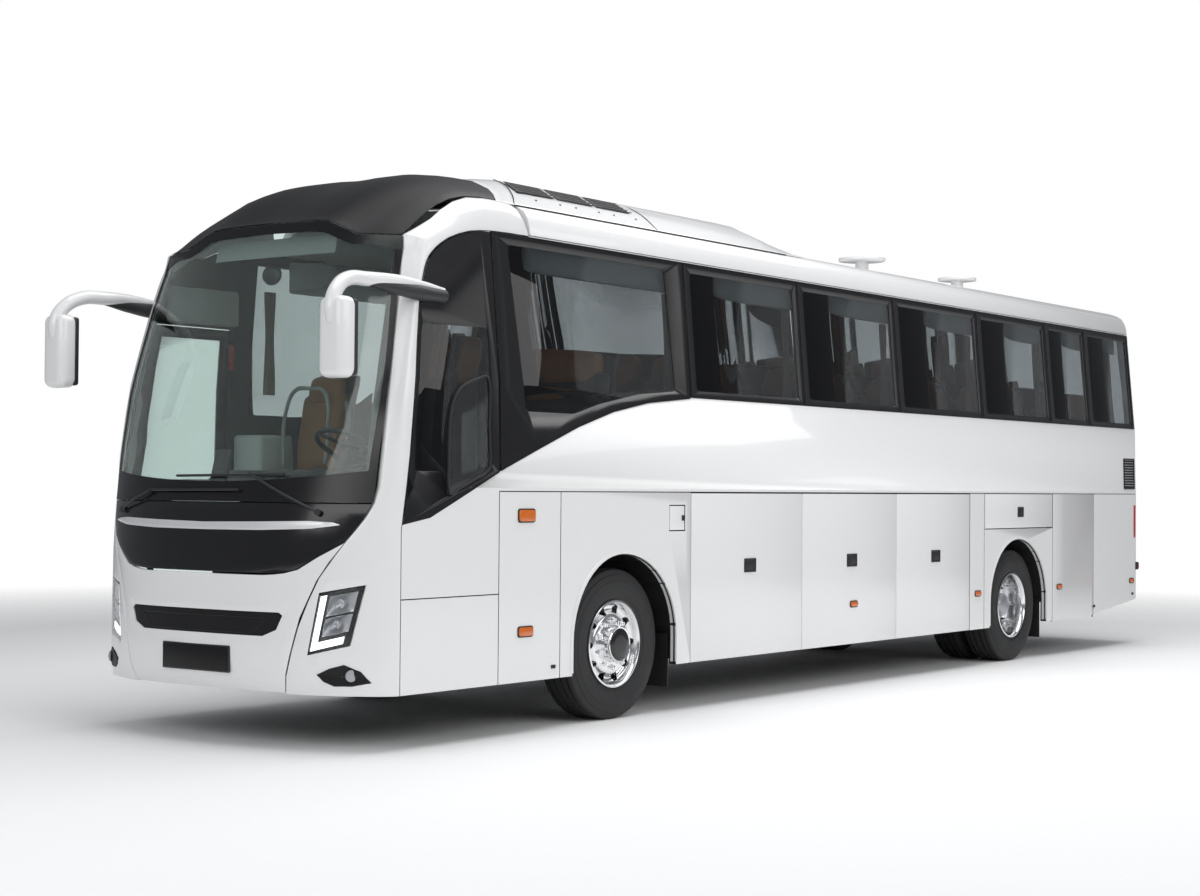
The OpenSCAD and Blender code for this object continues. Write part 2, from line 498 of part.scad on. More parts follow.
// Everything below is straight members with a hair of space at each weld, so each is a plain solid
cab_x = [1000, 2200];   // floor beside the driver
stair_x = [1400, 2195]; // stairs behind the front door
stair_y = [-inner_y + 60, -840, -640, -440];
beam_y = [-430, 370];   // right side of each main beam
beam_w = 60;
beam_z = [790, 900];
low_beam_z = [380, 470];
deck_y = inner_y - 90;
module underframe() color(dark) place() {
    // passenger deck round the stairs of the middle door
    block(tail_seam_x + 60, mid_door_x[0] - weld, -deck_y, deck_y, deck_z - deck_t, deck_z);
    block(mid_door_x[0], mid_door_x[1], -520, deck_y, deck_z - deck_t, deck_z);
    block(mid_door_x[1] + weld, cab_x[0], -deck_y, deck_y, deck_z - deck_t, deck_z);
    // luggage bay floor and bulkheads
    block(arch_front_x + 20, bay_front_x, -inner_y, inner_y, bay_floor_z, bay_floor_z + 50);
    for (x = [bay_front_x - bulkhead_t, bay_x[1] - bulkhead_t / 2, bay_x[2] - bulkhead_t / 2, bay_x[3]])
        block(x, x + bulkhead_t, -inner_y + 20, inner_y - 20, bay_floor_z + 50 + weld,
            deck_z - deck_t - weld);
    // main beams, behind the bays and ahead of them
    for (y = beam_y) {
        block(tail_seam_x + 100, bay_x[3] - weld, y, y + beam_w, beam_z[0], beam_z[1]);
        block(bay_front_x + weld, 1270 - weld, y, y + beam_w, beam_z[0], beam_z[1]);
        block(1270, 1330, y, y + beam_w, low_beam_z[0], beam_z[1]);
        block(1330 + weld, 2540 - weld, y, y + beam_w, low_beam_z[0], low_beam_z[1]);
    }
    // front cross-member with an upright bore for the towing pin
    difference() {
        block(2540, 2600, beam_y[0], beam_y[1] + beam_w, low_beam_z[0], low_beam_z[1]);
        translate([2570, 150, 300]) cylinder(r = tow_eye_r, h = 300, $fn = 48);
    }
    // step from the deck, cab floor and front bulkhead
    block(cab_x[0] - 40, cab_x[0], -deck_y, deck_y, 910, deck_z - deck_t - weld);
    block(cab_x[0] + weld, stair_x[0], -deck_y, stair_y[3] - weld, cab_floor_z - 60, cab_floor_z);
    block(cab_x[0] + weld, cab_x[1], stair_y[3], deck_y, cab_floor_z - 60, cab_floor_z);
    block(cab_x[1] + weld, cab_x[1] + 20, stair_y[3], deck_y, 480, cab_floor_z);
    // stairs: the lowest tread is a plate, the upper two are boxes
    block(stair_x[0], stair_x[1], stair_y[0], stair_y[1], entry_step_z - 50, entry_step_z);
    for (i = [1, 2]) block(stair_x[0], stair_x[1], stair_y[i] + weld, stair_y[i + 1] - weld,
        entry_step_z - 50,
        lerp(entry_step_z, cab_floor_z, i / 3));
}

// Seat from the side: leg with cushion, and a reclined back with its headrest
seat_base = [[60, 0], [330, 0], [420, 340], [420, 430], [390, 455], [-75, 455], [-60, 340]];
seat_back = [[-76, 456], [40, 456], [25, 560], [-100, 1130], [-130, 1160], [-180, 1155], [-205, 1120],
    [-100, 520]];
module seat(x, y, w, z) translate([x, y - w / 2, z]) {
    through_y(0, w) polygon(seat_base);
    through_y(0, w) polygon(seat_back);
}
seat_w = 440;
seat_front_x = 30;
row_count = min(seat_rows, 1 + floor((seat_front_x - tail_seam_x - 450) / seat_pitch));
// Rows on the right stop for the stairs of the middle door
function row_fits(x, s) = s > 0 || x + 430 < mid_door_x[0] - 30 || x - 210 > mid_door_x[1] + 30;
module passenger_seats() color("dimgray") place() for (i = [0:row_count - 1], s = [-1, 1], k = [0, 1])
    let (x = seat_front_x - i * seat_pitch)
        if (row_fits(x, s)) seat(x, s * (inner_y - 130 - seat_w / 2 - k * (seat_w + 15)), seat_w,
            deck_z + weld);
module crew_seats() color("dimgray") place() {
    seat(1540, 560, 500, cab_floor_z + weld);
    seat(1050, stair_y[3] - 4 - seat_w / 2, seat_w, cab_floor_z + weld);
}
wheel_c = [1985, 560, 1850];
column_tilt = 28;
column_r = 38;
module dashboard() color(black) place() {
    difference() {
        union() {
            through_y(-300, 1000) polygon([[2225, cab_floor_z + 5], [2440, cab_floor_z + 5], [2440,
                1600], [2380, 1650],
                [2230, 1700], [2120, 1670], [2105, 1560], [2200, 1400]]);
            through_y(-1000, -300) polygon([[2320, cab_floor_z + 5], [2440, cab_floor_z + 5], [2440,
                1600], [2360, 1640], [2290, 1590]]);
        }
        translate(wheel_c) rotate([0, -column_tilt, 0]) translate([0, 0,
            -500]) cylinder(r = column_r + weld, h = 500, $fn = 32);
    }
    translate(wheel_c) rotate([0, -column_tilt, 0]) translate([0, 0, -360]) cylinder(r = column_r,
        h = 283, $fn = 32);
}
module steering_wheel() color(black) place() translate(wheel_c) rotate([0, -column_tilt, 0]) union() {
    rotate_extrude($fn = 72) translate([225, 0]) circle(r = 16, $fn = 24);
    for (a = [90, 210, 330]) rotate([0, 0, a]) translate([30, -18, -8]) cube([190, 36, 12]);
    cylinder(r = 70, h = 30, center = true, $fn = 48);
    translate([0, 0, -75]) cylinder(r = 28, h = 70, $fn = 32);
}
rack_x = [tail_seam_x + 250, 900];
rack_y = side_y(3230) - wall - 8;
module racks() color("gray") place() both() along_x(rack_x[0], rack_x[1])
    polygon([[rack_y, 3000], [rack_y - 530, 3030], [rack_y - 570, 3080], [rack_y - 430, 3200], [rack_y,
        3230]]);
module curtains() color("tan") place() both() {
    for (x = [1120, pane_x[1] + 130, pane_x[2] + 90, pane_x[3] + 90, pane_x[4] + 90, pane_x[5] + 90])
        block(x - 45, x + 45, inner_y - 170, inner_y - 110, 2250, 2990);
}
module engine() color(dark) place() block(tail_seam_x + 300, arch_rear_x - 150, -300, 300, 560, 1180);

// ---- axles and wheels ----
module front_axle() color(dark) place() {
    difference() {
        union() {
            block(-70, 70, -kingpin_y - 60, kingpin_y + 60, tyre_r - 60, tyre_r + 60);
            block(-110, 110, -420, 420, tyre_r + 55, 790);
        }
        for (s = [-1, 1]) {
            translate([0, s * kingpin_y, 0]) block(-100, 100, -100, 100, tyre_r - 36, tyre_r + 36);
            translate([0, s * kingpin_y, tyre_r - 100]) cylinder(r = 20, h = 200, $fn = 48);
        }
    }
}
module knuckle() translate([0, kingpin_y, tyre_r]) {
    cylinder(r = 19.95, h = 140, center = true, $fn = 48);
    cylinder(r = 45, h = 70, center = true, $fn = 48);
    rotate([-90, 0, 0]) cylinder(r = spigot_r - 0.05, h = wheel_y + 120 - kingpin_y, $fn = 48);
}
module knuckle_left() color(dark) place() knuckle();
module knuckle_right() color(dark) place() mirror([0, 1, 0]) knuckle();
module rear_axle() color(dark) place() translate([rear_axle_x, 0, tyre_r]) {
    union() {
        rotate([90, 0, 0]) cylinder(r = 70, h = 2 * (wheel_y - twin_pitch / 2 - 100), center = true,
            $fn = 48);
        rotate([90, 0, 0]) cylinder(r = spigot_r - 0.05, h = 2 * (wheel_y + 5), center = true, $fn = 48);
        sphere(r = 210, $fn = 48);
        for (s = [-1, 1]) translate([0, s * 400, 0]) block(-70, 70, -50, 50, 0, 790 - tyre_r);
    }
}
// Tyre's half section as [distance from its middle plane, radius]
function tyre_half() = let (w = tyre_w / 2, h = tyre_r - flange_r + 15)
    [[w - 24.5, flange_r - 15], [w - 23, flange_r + 3], [w - 10, flange_r + 0.12 * h], [w - 1,
        flange_r + 0.32 * h], [w, flange_r + 0.45 * h],
    [w - 4, flange_r + 0.62 * h], [w - 14, tyre_r - 40], [w - 24, tyre_r - 14], [w - 40, tyre_r - 4],
        [w - 90, tyre_r]];
module tyre_ring() rotate([-90, 0, 0]) rotate_extrude($fn = 96) polygon(concat(
    [for (p = tyre_half()) [p[1], p[0]]], [for (p = reverse(tyre_half())) [p[1], -p[0]]]));
// A wheel's barrel between two planes, and its disc
rim_t = 14;
function barrel() = let (w = tyre_w / 2 - 24, r = flange_r - 16) [[r, -w], [r, w], [flange_r, w + 2],
    [flange_r, w + 16],
    [flange_r - 12, w + 18], [r - rim_t, w], [r - rim_t - 6, 60], [r - rim_t - 6, -60], [r - rim_t, -w],
        [flange_r - 12, -w - 18],
    [flange_r, -w - 16], [flange_r, -w - 2]];
hand_r = 33;
hand_pcd = 464;
// disc_y: where the disc stands from the middle plane, outward positive
module rim(disc_y, bore_r) rotate([-90, 0, 0]) difference() {
    union() {
        rotate_extrude($fn = 96) polygon(barrel());
        rotate_extrude($fn = 96) polygon([[bore_r, disc_y - 30], [120, disc_y - 30], [190, disc_y - 34],
            [flange_r - 30, disc_y - 58],
            [flange_r - 24, disc_y - 44], [196, disc_y - 16], [178, disc_y], [120, disc_y], [100,
                disc_y + 12], [96, disc_y + 62],
            [84, disc_y + 74], [bore_r, disc_y + 74]]);
    }
    for (i = [0:9]) rotate([0, 0, 36 * i]) translate([hand_pcd / 2, 0, disc_y - 90]) cylinder(r = hand_r,
        h = 140, $fn = 40);
}
module front_wheel_place(s) place() mirror([0, s > 0 ? 0 : 1, 0]) translate([0, wheel_y,
    tyre_r]) children();
module rear_wheel_place(s) place() mirror([0, s > 0 ? 0 : 1, 0]) translate([rear_axle_x, wheel_y,
    tyre_r]) children();
spigot_r = 30.03;
spacer = twin_pitch - tyre_w + 24;
module front_rim() rim(105, spigot_r);
module rear_rim() union() {
    rim(-62, spigot_r);
    translate([0, -twin_pitch, 0]) mirror([0, 1, 0]) rotate([-90, 0,
        0]) rotate_extrude($fn = 96) polygon(barrel());
    // ring between the twins' flanges
    translate([0, -twin_pitch / 2, 0]) rotate([90, 0, 0]) rotate_extrude($fn = 96)
        translate([flange_r - 14, -spacer / 2]) square([12, spacer]);
}
module tyre_front_left() color(black) front_wheel_place(1) tyre_ring();
module tyre_front_right() color(black) front_wheel_place(-1) tyre_ring();
module tyre_rear(s) color(black) rear_wheel_place(s) { tyre_ring(); translate([0, -twin_pitch,
    0]) tyre_ring(); }
module tyre_rear_left() tyre_rear(1);
module tyre_rear_right() tyre_rear(-1);
module rim_front_left() color("silver") front_wheel_place(1) front_rim();
module rim_front_right() color("silver") front_wheel_place(-1) front_rim();
module rim_rear_left() color("silver") rear_wheel_place(1) rear_rim();
module rim_rear_right() color("silver") rear_wheel_place(-1) rear_rim();
module mudflaps() color(black) place() both() {
    block(-668, -658, wheel_y - 140, half_w - wall - 15, 175, 560);
    block(rear_axle_x - 652, rear_axle_x - 642, wheel_y - 460, half_w - wall - 15, 185, 560);
}

// ---- moving doors ----
bay_door_t = 38;
module side_door(side, x, z, t) color(white) place() mirror([0, side > 0 ? 0 : 1, 0]) intersection() {
    wall_slab(tail_seam_x, corner_x, 0, t, 0);
    through_y(0, far) rect_xz(x, z);
}
module bay_door(side, i) side_door(side, [bay_x[i + 1] + door_gap / 2, bay_x[i] - door_gap / 2], [sill_z,
    waist_z - door_gap], bay_door_t);
module bay_door_left_1() bay_door(1, 0);
module bay_door_left_2() bay_door(1, 1);
module bay_door_left_3() bay_door(1, 2);
module bay_door_right_1() bay_door(-1, 0);
module bay_door_right_2() bay_door(-1, 1);
module locker_flap() side_door(1, locker_x, locker_z, 30);
module fuel_flap() side_door(1, fuel_x, fuel_z, 20);

// Passenger door: a frame with a glass in it, on a swing arm held between two lugs
door_frame = 75;
lug_r = 8.05;
module door_window(x, grow, front) polygon(front
    ? concat([[x[0] + door_frame - grow, door_z[1] - door_frame + grow], [x[0] + door_frame - grow,
        950 - grow],
        [x[1] - door_frame + grow, 950 - grow], [x[1] - door_frame + grow, 1340]],
        [for (p = pillar_line) if (p[0] > 1400 && p[0] < 2600) [p[1] - 14 - door_frame + grow, p[0]]],
        [[lookup(door_z[1] - door_frame, pillar_line) - 14 - door_frame + grow,
            door_z[1] - door_frame + grow]])
    : [[x[0] + door_frame - grow, 950 - grow], [x[1] - door_frame + grow, 950 - grow],
        [x[1] - door_frame + grow, door_z[1] - door_frame + grow], [x[0] + door_frame - grow,
            door_z[1] - door_frame + grow]]);
module passenger_door(x, pin_x, front) color(black) place() {
    mirror([0, 1, 0]) difference() {
        intersection() {
            wall_slab(tail_seam_x, corner_x, 0, door_t, 0);
            through_y(0, far) polygon(door_outline(x, 0, front));
        }
        through_y(0, far) door_window(x, 0, front);
    }
    for (z = [arm_z + 17, arm_z - 32]) difference() {
        block(pin_x - 25, pin_x + 25, -half_w + door_t - 5, post_y + 25, z, z + 15);
        translate([pin_x, post_y, z - 5]) cylinder(r = lug_r, h = 25, $fn = 32);
    }
}
module door_pane(x, front) color([0.4, 0.5, 0.5, 0.5]) place() mirror([0, 1, 0]) intersection() {
    wall_slab(tail_seam_x, corner_x, 12, 20, 0);
    through_y(0, far) door_window(x, -0.3, front);
}
module front_door() passenger_door(front_door_x, front_post_x - arm_len, true);
module mid_door() passenger_door(mid_door_x, mid_post_x + arm_len, false);
module front_door_glass() door_pane(front_door_x, true);
module mid_door_glass() door_pane(mid_door_x, false);
arm_len = 500;
arm_z = 900;
post_y = -(half_w - wall - 70);
front_post_x = corner_x - 150;
mid_post_x = mid_door_x[0] + 120;
// The arm: a post and a bar, reaching towards reach = -1 (back) or 1 (front)
module door_arm(x, reach, foot_z) color(dark) place() {
    translate([x, post_y, foot_z]) cylinder(r = 22, h = 1500 - foot_z, $fn = 32);
    translate([x + reach * arm_len, post_y, arm_z - 34]) cylinder(r = lug_r - 0.05, h = 68, $fn = 32);
    translate([x + reach * arm_len, post_y, arm_z - 15]) cylinder(r = 18, h = 30, $fn = 32);
    block(min(x, x + reach * arm_len), max(x, x + reach * arm_len), post_y - 12, post_y + 12, arm_z - 15,
        arm_z + 15);
}
module front_door_arm() door_arm(front_post_x, -1, entry_step_z + 1);
module mid_door_arm() door_arm(mid_post_x, 1, bay_floor_z + 51);

underframe();
side_wall_left();
side_wall_right();
roof_shell();
roof_pod();
roof_aerials();
front_dome();
front_corners();
front_bumper();
front_panel();
windscreen();
body_glass();
rear_wall();
headlamps();
rear_lamps();
side_lamps();
mirrors();
wipers();
dashboard();
crew_seats();
passenger_seats();
racks();
curtains();
engine();
front_axle();
rear_axle();
mudflaps();
wheel_housings();
knuckle_left();
knuckle_right();
tyre_front_left();
rim_front_left();
tyre_front_right();
rim_front_right();
tyre_rear_left();
rim_rear_left();
tyre_rear_right();
rim_rear_right();
steering_wheel();
bay_door_left_1();
bay_door_left_2();
bay_door_left_3();
bay_door_right_1();
bay_door_right_2();
locker_flap();
fuel_flap();
engine_lid();
front_door();
front_door_glass();
front_door_arm();
mid_door();
mid_door_glass();
mid_door_arm();
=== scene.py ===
# %% [markdown]
# # A touring coach
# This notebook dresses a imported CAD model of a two-axle coach. The CAD holds every size and every joint.
# Here each part gets its finish, and the small pieces that CAD leaves out are modelled around it.

# %% Load the frame
import json
import math

import bpy
import bmesh
from mathutils import Matrix, Vector

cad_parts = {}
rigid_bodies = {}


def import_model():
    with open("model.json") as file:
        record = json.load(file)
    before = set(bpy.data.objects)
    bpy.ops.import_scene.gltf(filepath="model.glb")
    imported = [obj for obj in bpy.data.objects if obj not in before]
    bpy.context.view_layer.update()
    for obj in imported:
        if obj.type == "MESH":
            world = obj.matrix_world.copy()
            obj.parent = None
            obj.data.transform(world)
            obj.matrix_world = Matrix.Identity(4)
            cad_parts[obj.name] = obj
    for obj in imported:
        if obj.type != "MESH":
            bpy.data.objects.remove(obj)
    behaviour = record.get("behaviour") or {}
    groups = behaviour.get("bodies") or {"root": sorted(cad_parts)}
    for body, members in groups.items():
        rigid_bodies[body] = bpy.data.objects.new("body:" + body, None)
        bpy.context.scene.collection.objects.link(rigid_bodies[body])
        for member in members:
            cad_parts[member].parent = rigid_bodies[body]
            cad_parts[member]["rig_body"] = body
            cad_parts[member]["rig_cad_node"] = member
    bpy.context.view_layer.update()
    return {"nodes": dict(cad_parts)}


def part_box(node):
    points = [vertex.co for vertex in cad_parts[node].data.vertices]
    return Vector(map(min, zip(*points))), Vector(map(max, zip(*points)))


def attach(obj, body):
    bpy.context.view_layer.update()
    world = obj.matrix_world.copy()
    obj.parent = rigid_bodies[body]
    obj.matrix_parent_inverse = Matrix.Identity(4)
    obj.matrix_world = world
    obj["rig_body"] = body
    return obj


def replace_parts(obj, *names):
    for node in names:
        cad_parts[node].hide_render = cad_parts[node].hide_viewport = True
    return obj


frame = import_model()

nodes = frame["nodes"]
print("CAD nodes:", len(nodes))

# %% [markdown]
# Every place in this file hangs on two things read from the frame: where the front axle stands, and where
# the tail of the body is. X is measured from the front axle, because that is how a coach is drawn.

# %% Key places
tyre_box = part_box("tyre_front_left")
rear_tyre_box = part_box("tyre_rear_left")
axle_x = (tyre_box[0].x + tyre_box[1].x) / 2
rear_axle = (rear_tyre_box[0].x + rear_tyre_box[1].x) / 2 - axle_x
hub_z = (tyre_box[0].z + tyre_box[1].z) / 2
half_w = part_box("side_wall_left")[1].y
tail_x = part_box("rear_wall")[0].x - axle_x
print("front axle at", round(axle_x, 3), "rear axle", round(rear_axle, 3), "tail", round(tail_x, 3))


def lookup(key, table):
    """Straight-line reading of a table of (key, value) pairs."""
    if key <= table[0][0]:
        return table[0][1]
    for (k0, v0), (k1, v1) in zip(table, table[1:]):
        if key <= k1:
            return v0 + (v1 - v0) * (key - k0) / (k1 - k0)
    return table[-1][1]


# Height against distance ahead of the front axle: the nose, and where the corner starts to turn
nose_line = [(0.34, 2.69), (0.45, 2.735), (0.6, 2.745), (1.2, 2.728), (1.37, 2.70), (1.5, 2.662),
             (1.63, 2.62), (2.4, 2.415), (3.19, 2.204), (3.29, 2.17)]
turn_line = [(0.34, 2.30), (1.8, 2.29), (2.2, 2.24), (2.5, 2.17), (2.8, 2.092), (3.0, 2.025), (3.1, 1.975)]
lean_line = [(1.6, 0.0), (2.27, 0.015), (3.265, 0.103)]


def side_y(z):
    """Half width of the body at a height."""
    return half_w - lookup(z, lean_line)


def front_point(v, z, depth=0.0):
    """A point of the nose: v is the share of the half width, depth goes inwards."""
    turn = lookup(z, turn_line)
    nose = lookup(z, nose_line) - depth
    reach = (1 - min(1, abs(v)) ** 2.8) ** 0.74
    return Vector((axle_x + turn + (nose - turn) * reach, v * (side_y(z) - depth), z))


# %% [markdown]
# ## Stage, light and camera
# A white studio: the world lights the coach evenly, one large soft lamp from above draws the shape of the
# roof, and another from the front left gives the glass and the paint something to mirror. The floor keeps
# the shadow.

# %% Camera
cam_data = bpy.data.cameras.new("camera")
camera = bpy.data.objects.new("camera", cam_data)
bpy.context.scene.collection.objects.link(camera)
cam_data.lens = 60.98
cam_data.sensor_width = 36.0
cam_data.clip_end = 300
yaw, pitch, roll = math.radians(216.559), math.radians(1.086), math.radians(0.449)
look = Vector((math.cos(pitch) * math.cos(yaw), math.cos(pitch) * math.sin(yaw), math.sin(pitch)))
side = look.cross(Vector((0, 0, 1))).normalized()
up = side.cross(look)
right = side * math.cos(roll) + up * math.sin(roll)
above = up * math.cos(roll) - side * math.sin(roll)
turn = Matrix((right, above, -look)).transposed().to_4x4()
camera.matrix_world = Matrix.Translation((axle_x + 11.427, 9.544, 1.614)) @ turn
bpy.context.scene.camera = camera
print("camera stands", round(camera.location.length, 2), "m from the coach's middle")

# %% [markdown]
# The world is white where the camera sees it and dimmer in reflections, so that black paint stays black.
# The lamps are wide, which keeps every shadow soft.

# %% World and lamps
scene = bpy.context.scene
scene.view_settings.view_transform = "Standard"
world = bpy.data.worlds.new("studio")
scene.world = world
world.use_nodes = True
wn = world.node_tree.nodes
wl = world.node_tree.links
wn.clear()
w_out = wn.new("ShaderNodeOutputWorld")
w_bg = wn.new("ShaderNodeBackground")
w_white = wn.new("ShaderNodeBackground")
w_mix = wn.new("ShaderNodeMixShader")
w_path = wn.new("ShaderNodeLightPath")
w_max = wn.new("ShaderNodeMath")
w_max.operation = "MAXIMUM"
w_bg.inputs["Color"].default_value = (0.95, 0.97, 1.0, 1)
w_bg.inputs["Strength"].default_value = 0.40
w_mirror = wn.new("ShaderNodeBackground")
w_mirror.inputs["Color"].default_value = (0.9, 0.93, 1.0, 1)
w_mirror.inputs["Strength"].default_value = 0.22
w_pick = wn.new("ShaderNodeMixShader")
w_white.inputs["Color"].default_value = (1, 1, 1, 1)
w_white.inputs["Strength"].default_value = 1.0
wl.new(w_path.outputs["Is Camera Ray"], w_max.inputs[0])
wl.new(w_path.outputs["Is Transmission Ray"], w_max.inputs[1])
wl.new(w_max.outputs[0], w_mix.inputs["Fac"])
wl.new(w_path.outputs["Is Glossy Ray"], w_pick.inputs["Fac"])
wl.new(w_bg.outputs[0], w_pick.inputs[1])
wl.new(w_mirror.outputs[0], w_pick.inputs[2])
wl.new(w_pick.outputs[0], w_mix.inputs[1])
wl.new(w_white.outputs[0], w_mix.inputs[2])
wl.new(w_mix.outputs[0], w_out.inputs["Surface"])


def lamp(name, spot, target, size, power):
    """A rectangular soft lamp that looks at a target."""
    data = bpy.data.lights.new(name, "AREA")
    data.shape = "RECTANGLE"
    data.size, data.size_y = size
    data.energy = power
    obj = bpy.data.objects.new(name, data)
    scene.collection.objects.link(obj)
    obj.location = spot
    obj.rotation_euler = (Vector(target) - Vector(spot)).to_track_quat("-Z", "Y").to_euler()
    return obj


lamp("overhead", (0, 1.5, 9.5), (0, 0, 0), (16, 7), 820)
lamp("side", (2, 12, 6.5), (0, 0, 1.5), (16, 5), 450)
lamp("front", (14, 2, 6.0), (4, 0, 1.5), (7, 5), 230)

# %% [markdown]
# The floor is one plane whose material turns clear away from the coach, so no horizon line shows.

# %% Floor
bpy.ops.mesh.primitive_plane_add(size=240, location=(0, 0, 0))
floor = bpy.context.object
floor.name = "floor"
floor_mat = bpy.data.materials.new("floor")
floor_mat.use_nodes = True
fn = floor_mat.node_tree.nodes
fl = floor_mat.node_tree.links
floor_bsdf = fn["Principled BSDF"]
floor_bsdf.inputs["Base Color"].default_value = (0.96, 0.96, 0.96, 1)
floor_bsdf.inputs["Roughness"].default_value = 0.6
floor_bsdf.inputs["Specular IOR Level"].default_value = 0.1
floor_noise = fn.new("ShaderNodeTexNoise")
floor_noise.inputs["Scale"].default_value = 0.4
floor_tone = fn.new("ShaderNodeMapRange")
floor_tone.inputs["To Min"].default_value = 0.58
floor_tone.inputs["To Max"].default_value = 0.64
floor_coord = fn.new("ShaderNodeTexCoord")
fl.new(floor_coord.outputs["Object"], floor_noise.inputs["Vector"])
fl.new(floor_noise.outputs["Fac"], floor_tone.inputs["Value"])
fl.new(floor_tone.outputs["Result"], floor_bsdf.inputs["Roughness"])
floor_far = fn.new("ShaderNodeVectorMath")
floor_far.operation = "LENGTH"
floor_fade = fn.new("ShaderNodeMapRange")
floor_fade.inputs["From Min"].default_value = 9
floor_fade.inputs["From Max"].default_value = 17
floor_clear = fn.new("ShaderNodeBsdfTransparent")
floor_mix = fn.new("ShaderNodeMixShader")
fl.new(floor_coord.outputs["Object"], floor_far.inputs[0])
fl.new(floor_far.outputs["Value"], floor_fade.inputs["Value"])
fl.new(floor_fade.outputs["Result"], floor_mix.inputs["Fac"])
fl.new(floor_bsdf.outputs["BSDF"], floor_mix.inputs[1])
fl.new(floor_clear.outputs["BSDF"], floor_mix.inputs[2])
fl.new(floor_mix.outputs["Shader"], fn["Material Output"].inputs["Surface"])
floor.data.materials.append(floor_mat)

# %% [markdown]
# ## Finishes
# One shared effect, a soft mottle, keeps large plain surfaces from looking like plastic sheet: it moves the
# colour, the roughness and the surface a little. A second one is a woven cloth. Both are groups with named
# sockets, so every material sets its own amounts.

# %% Shared shader groups
def new_group(name, inputs, outputs):
    group = bpy.data.node_groups.new(name, "ShaderNodeTree")
    for label, kind, value in inputs:
        socket = group.interface.new_socket(name=label, in_out="INPUT", socket_type=kind)
        socket.default_value = value
    for label, kind in outputs:
        group.interface.new_socket(name=label, in_out="OUTPUT", socket_type=kind)
    return group, group.nodes.new("NodeGroupInput"), group.nodes.new("NodeGroupOutput")


COLOR, VALUE = "NodeSocketColor", "NodeSocketFloat"
mottle, m_in, m_out = new_group("mottle",
                                [("Color", COLOR, (1, 1, 1, 1)), ("Amount", VALUE, 0.05),
                                 ("Size", VALUE, 3.0), ("Roughness", VALUE, 0.3)],
                                [("Color", COLOR), ("Roughness", VALUE), ("Height", VALUE)])
mn, ml = mottle.nodes, mottle.links
m_coord = mn.new("ShaderNodeTexCoord")
m_big = mn.new("ShaderNodeTexNoise")
m_big.inputs["Detail"].default_value = 4
m_fine = mn.new("ShaderNodeTexNoise")
m_fine.inputs["Scale"].default_value = 900
m_shift = mn.new("ShaderNodeMath")
m_shift.operation = "SUBTRACT"
m_shift.inputs[1].default_value = 0.5
m_amount = mn.new("ShaderNodeMath")
m_amount.operation = "MULTIPLY"
m_value = mn.new("ShaderNodeMath")
m_value.inputs[1].default_value = 1.0
m_hsv = mn.new("ShaderNodeHueSaturation")
m_rough = mn.new("ShaderNodeMath")
ml.new(m_coord.outputs["Object"], m_big.inputs["Vector"])
ml.new(m_coord.outputs["Object"], m_fine.inputs["Vector"])
ml.new(m_in.outputs["Size"], m_big.inputs["Scale"])
ml.new(m_big.outputs["Fac"], m_shift.inputs[0])
ml.new(m_shift.outputs[0], m_amount.inputs[0])
ml.new(m_in.outputs["Amount"], m_amount.inputs[1])
ml.new(m_amount.outputs[0], m_value.inputs[0])
ml.new(m_value.outputs[0], m_hsv.inputs["Value"])
ml.new(m_in.outputs["Color"], m_hsv.inputs["Color"])
ml.new(m_amount.outputs[0], m_rough.inputs[0])
ml.new(m_in.outputs["Roughness"], m_rough.inputs[1])
ml.new(m_hsv.outputs["Color"], m_out.inputs["Color"])
ml.new(m_rough.outputs[0], m_out.inputs["Roughness"])
ml.new(m_fine.outputs["Fac"], m_out.inputs["Height"])

weave, v_in, v_out = new_group("weave",
    [("Color", COLOR, (1, 1, 1, 1)), ("Thread", VALUE, 350.0)], [("Color", COLOR), ("Height", VALUE)])
vn, vl = weave.nodes, weave.links
v_coord = vn.new("ShaderNodeTexCoord")
waves = []
for direction in ("X", "Z"):
    wave = vn.new("ShaderNodeTexWave")
    wave.bands_direction = direction
    wave.inputs["Distortion"].default_value = 0.4
    vl.new(v_coord.outputs["Object"], wave.inputs["Vector"])
    vl.new(v_in.outputs["Thread"], wave.inputs["Scale"])
    waves.append(wave)
v_mul = vn.new("ShaderNodeMath")
v_mul.operation = "MULTIPLY"
vl.new(waves[0].outputs["Fac"], v_mul.inputs[0])
vl.new(waves[1].outputs["Fac"], v_mul.inputs[1])
v_map = vn.new("ShaderNodeMapRange")
v_map.inputs["To Min"].default_value = 0.75
v_map.inputs["To Max"].default_value = 1.15
v_hsv = vn.new("ShaderNodeHueSaturation")
vl.new(v_mul.outputs[0], v_map.inputs["Value"])
vl.new(v_map.outputs[0], v_hsv.inputs["Value"])
vl.new(v_in.outputs["Color"], v_hsv.inputs["Color"])
vl.new(v_hsv.outputs["Color"], v_out.inputs["Color"])
vl.new(v_mul.outputs[0], v_out.inputs["Height"])
print("shader groups:", [g.name for g in bpy.data.node_groups])


# %% [markdown]
# Each finish is a Principled material. One function makes them all, so that colour, roughness and bump
# always come through the shared groups, and each call reads like a line on a paint list.

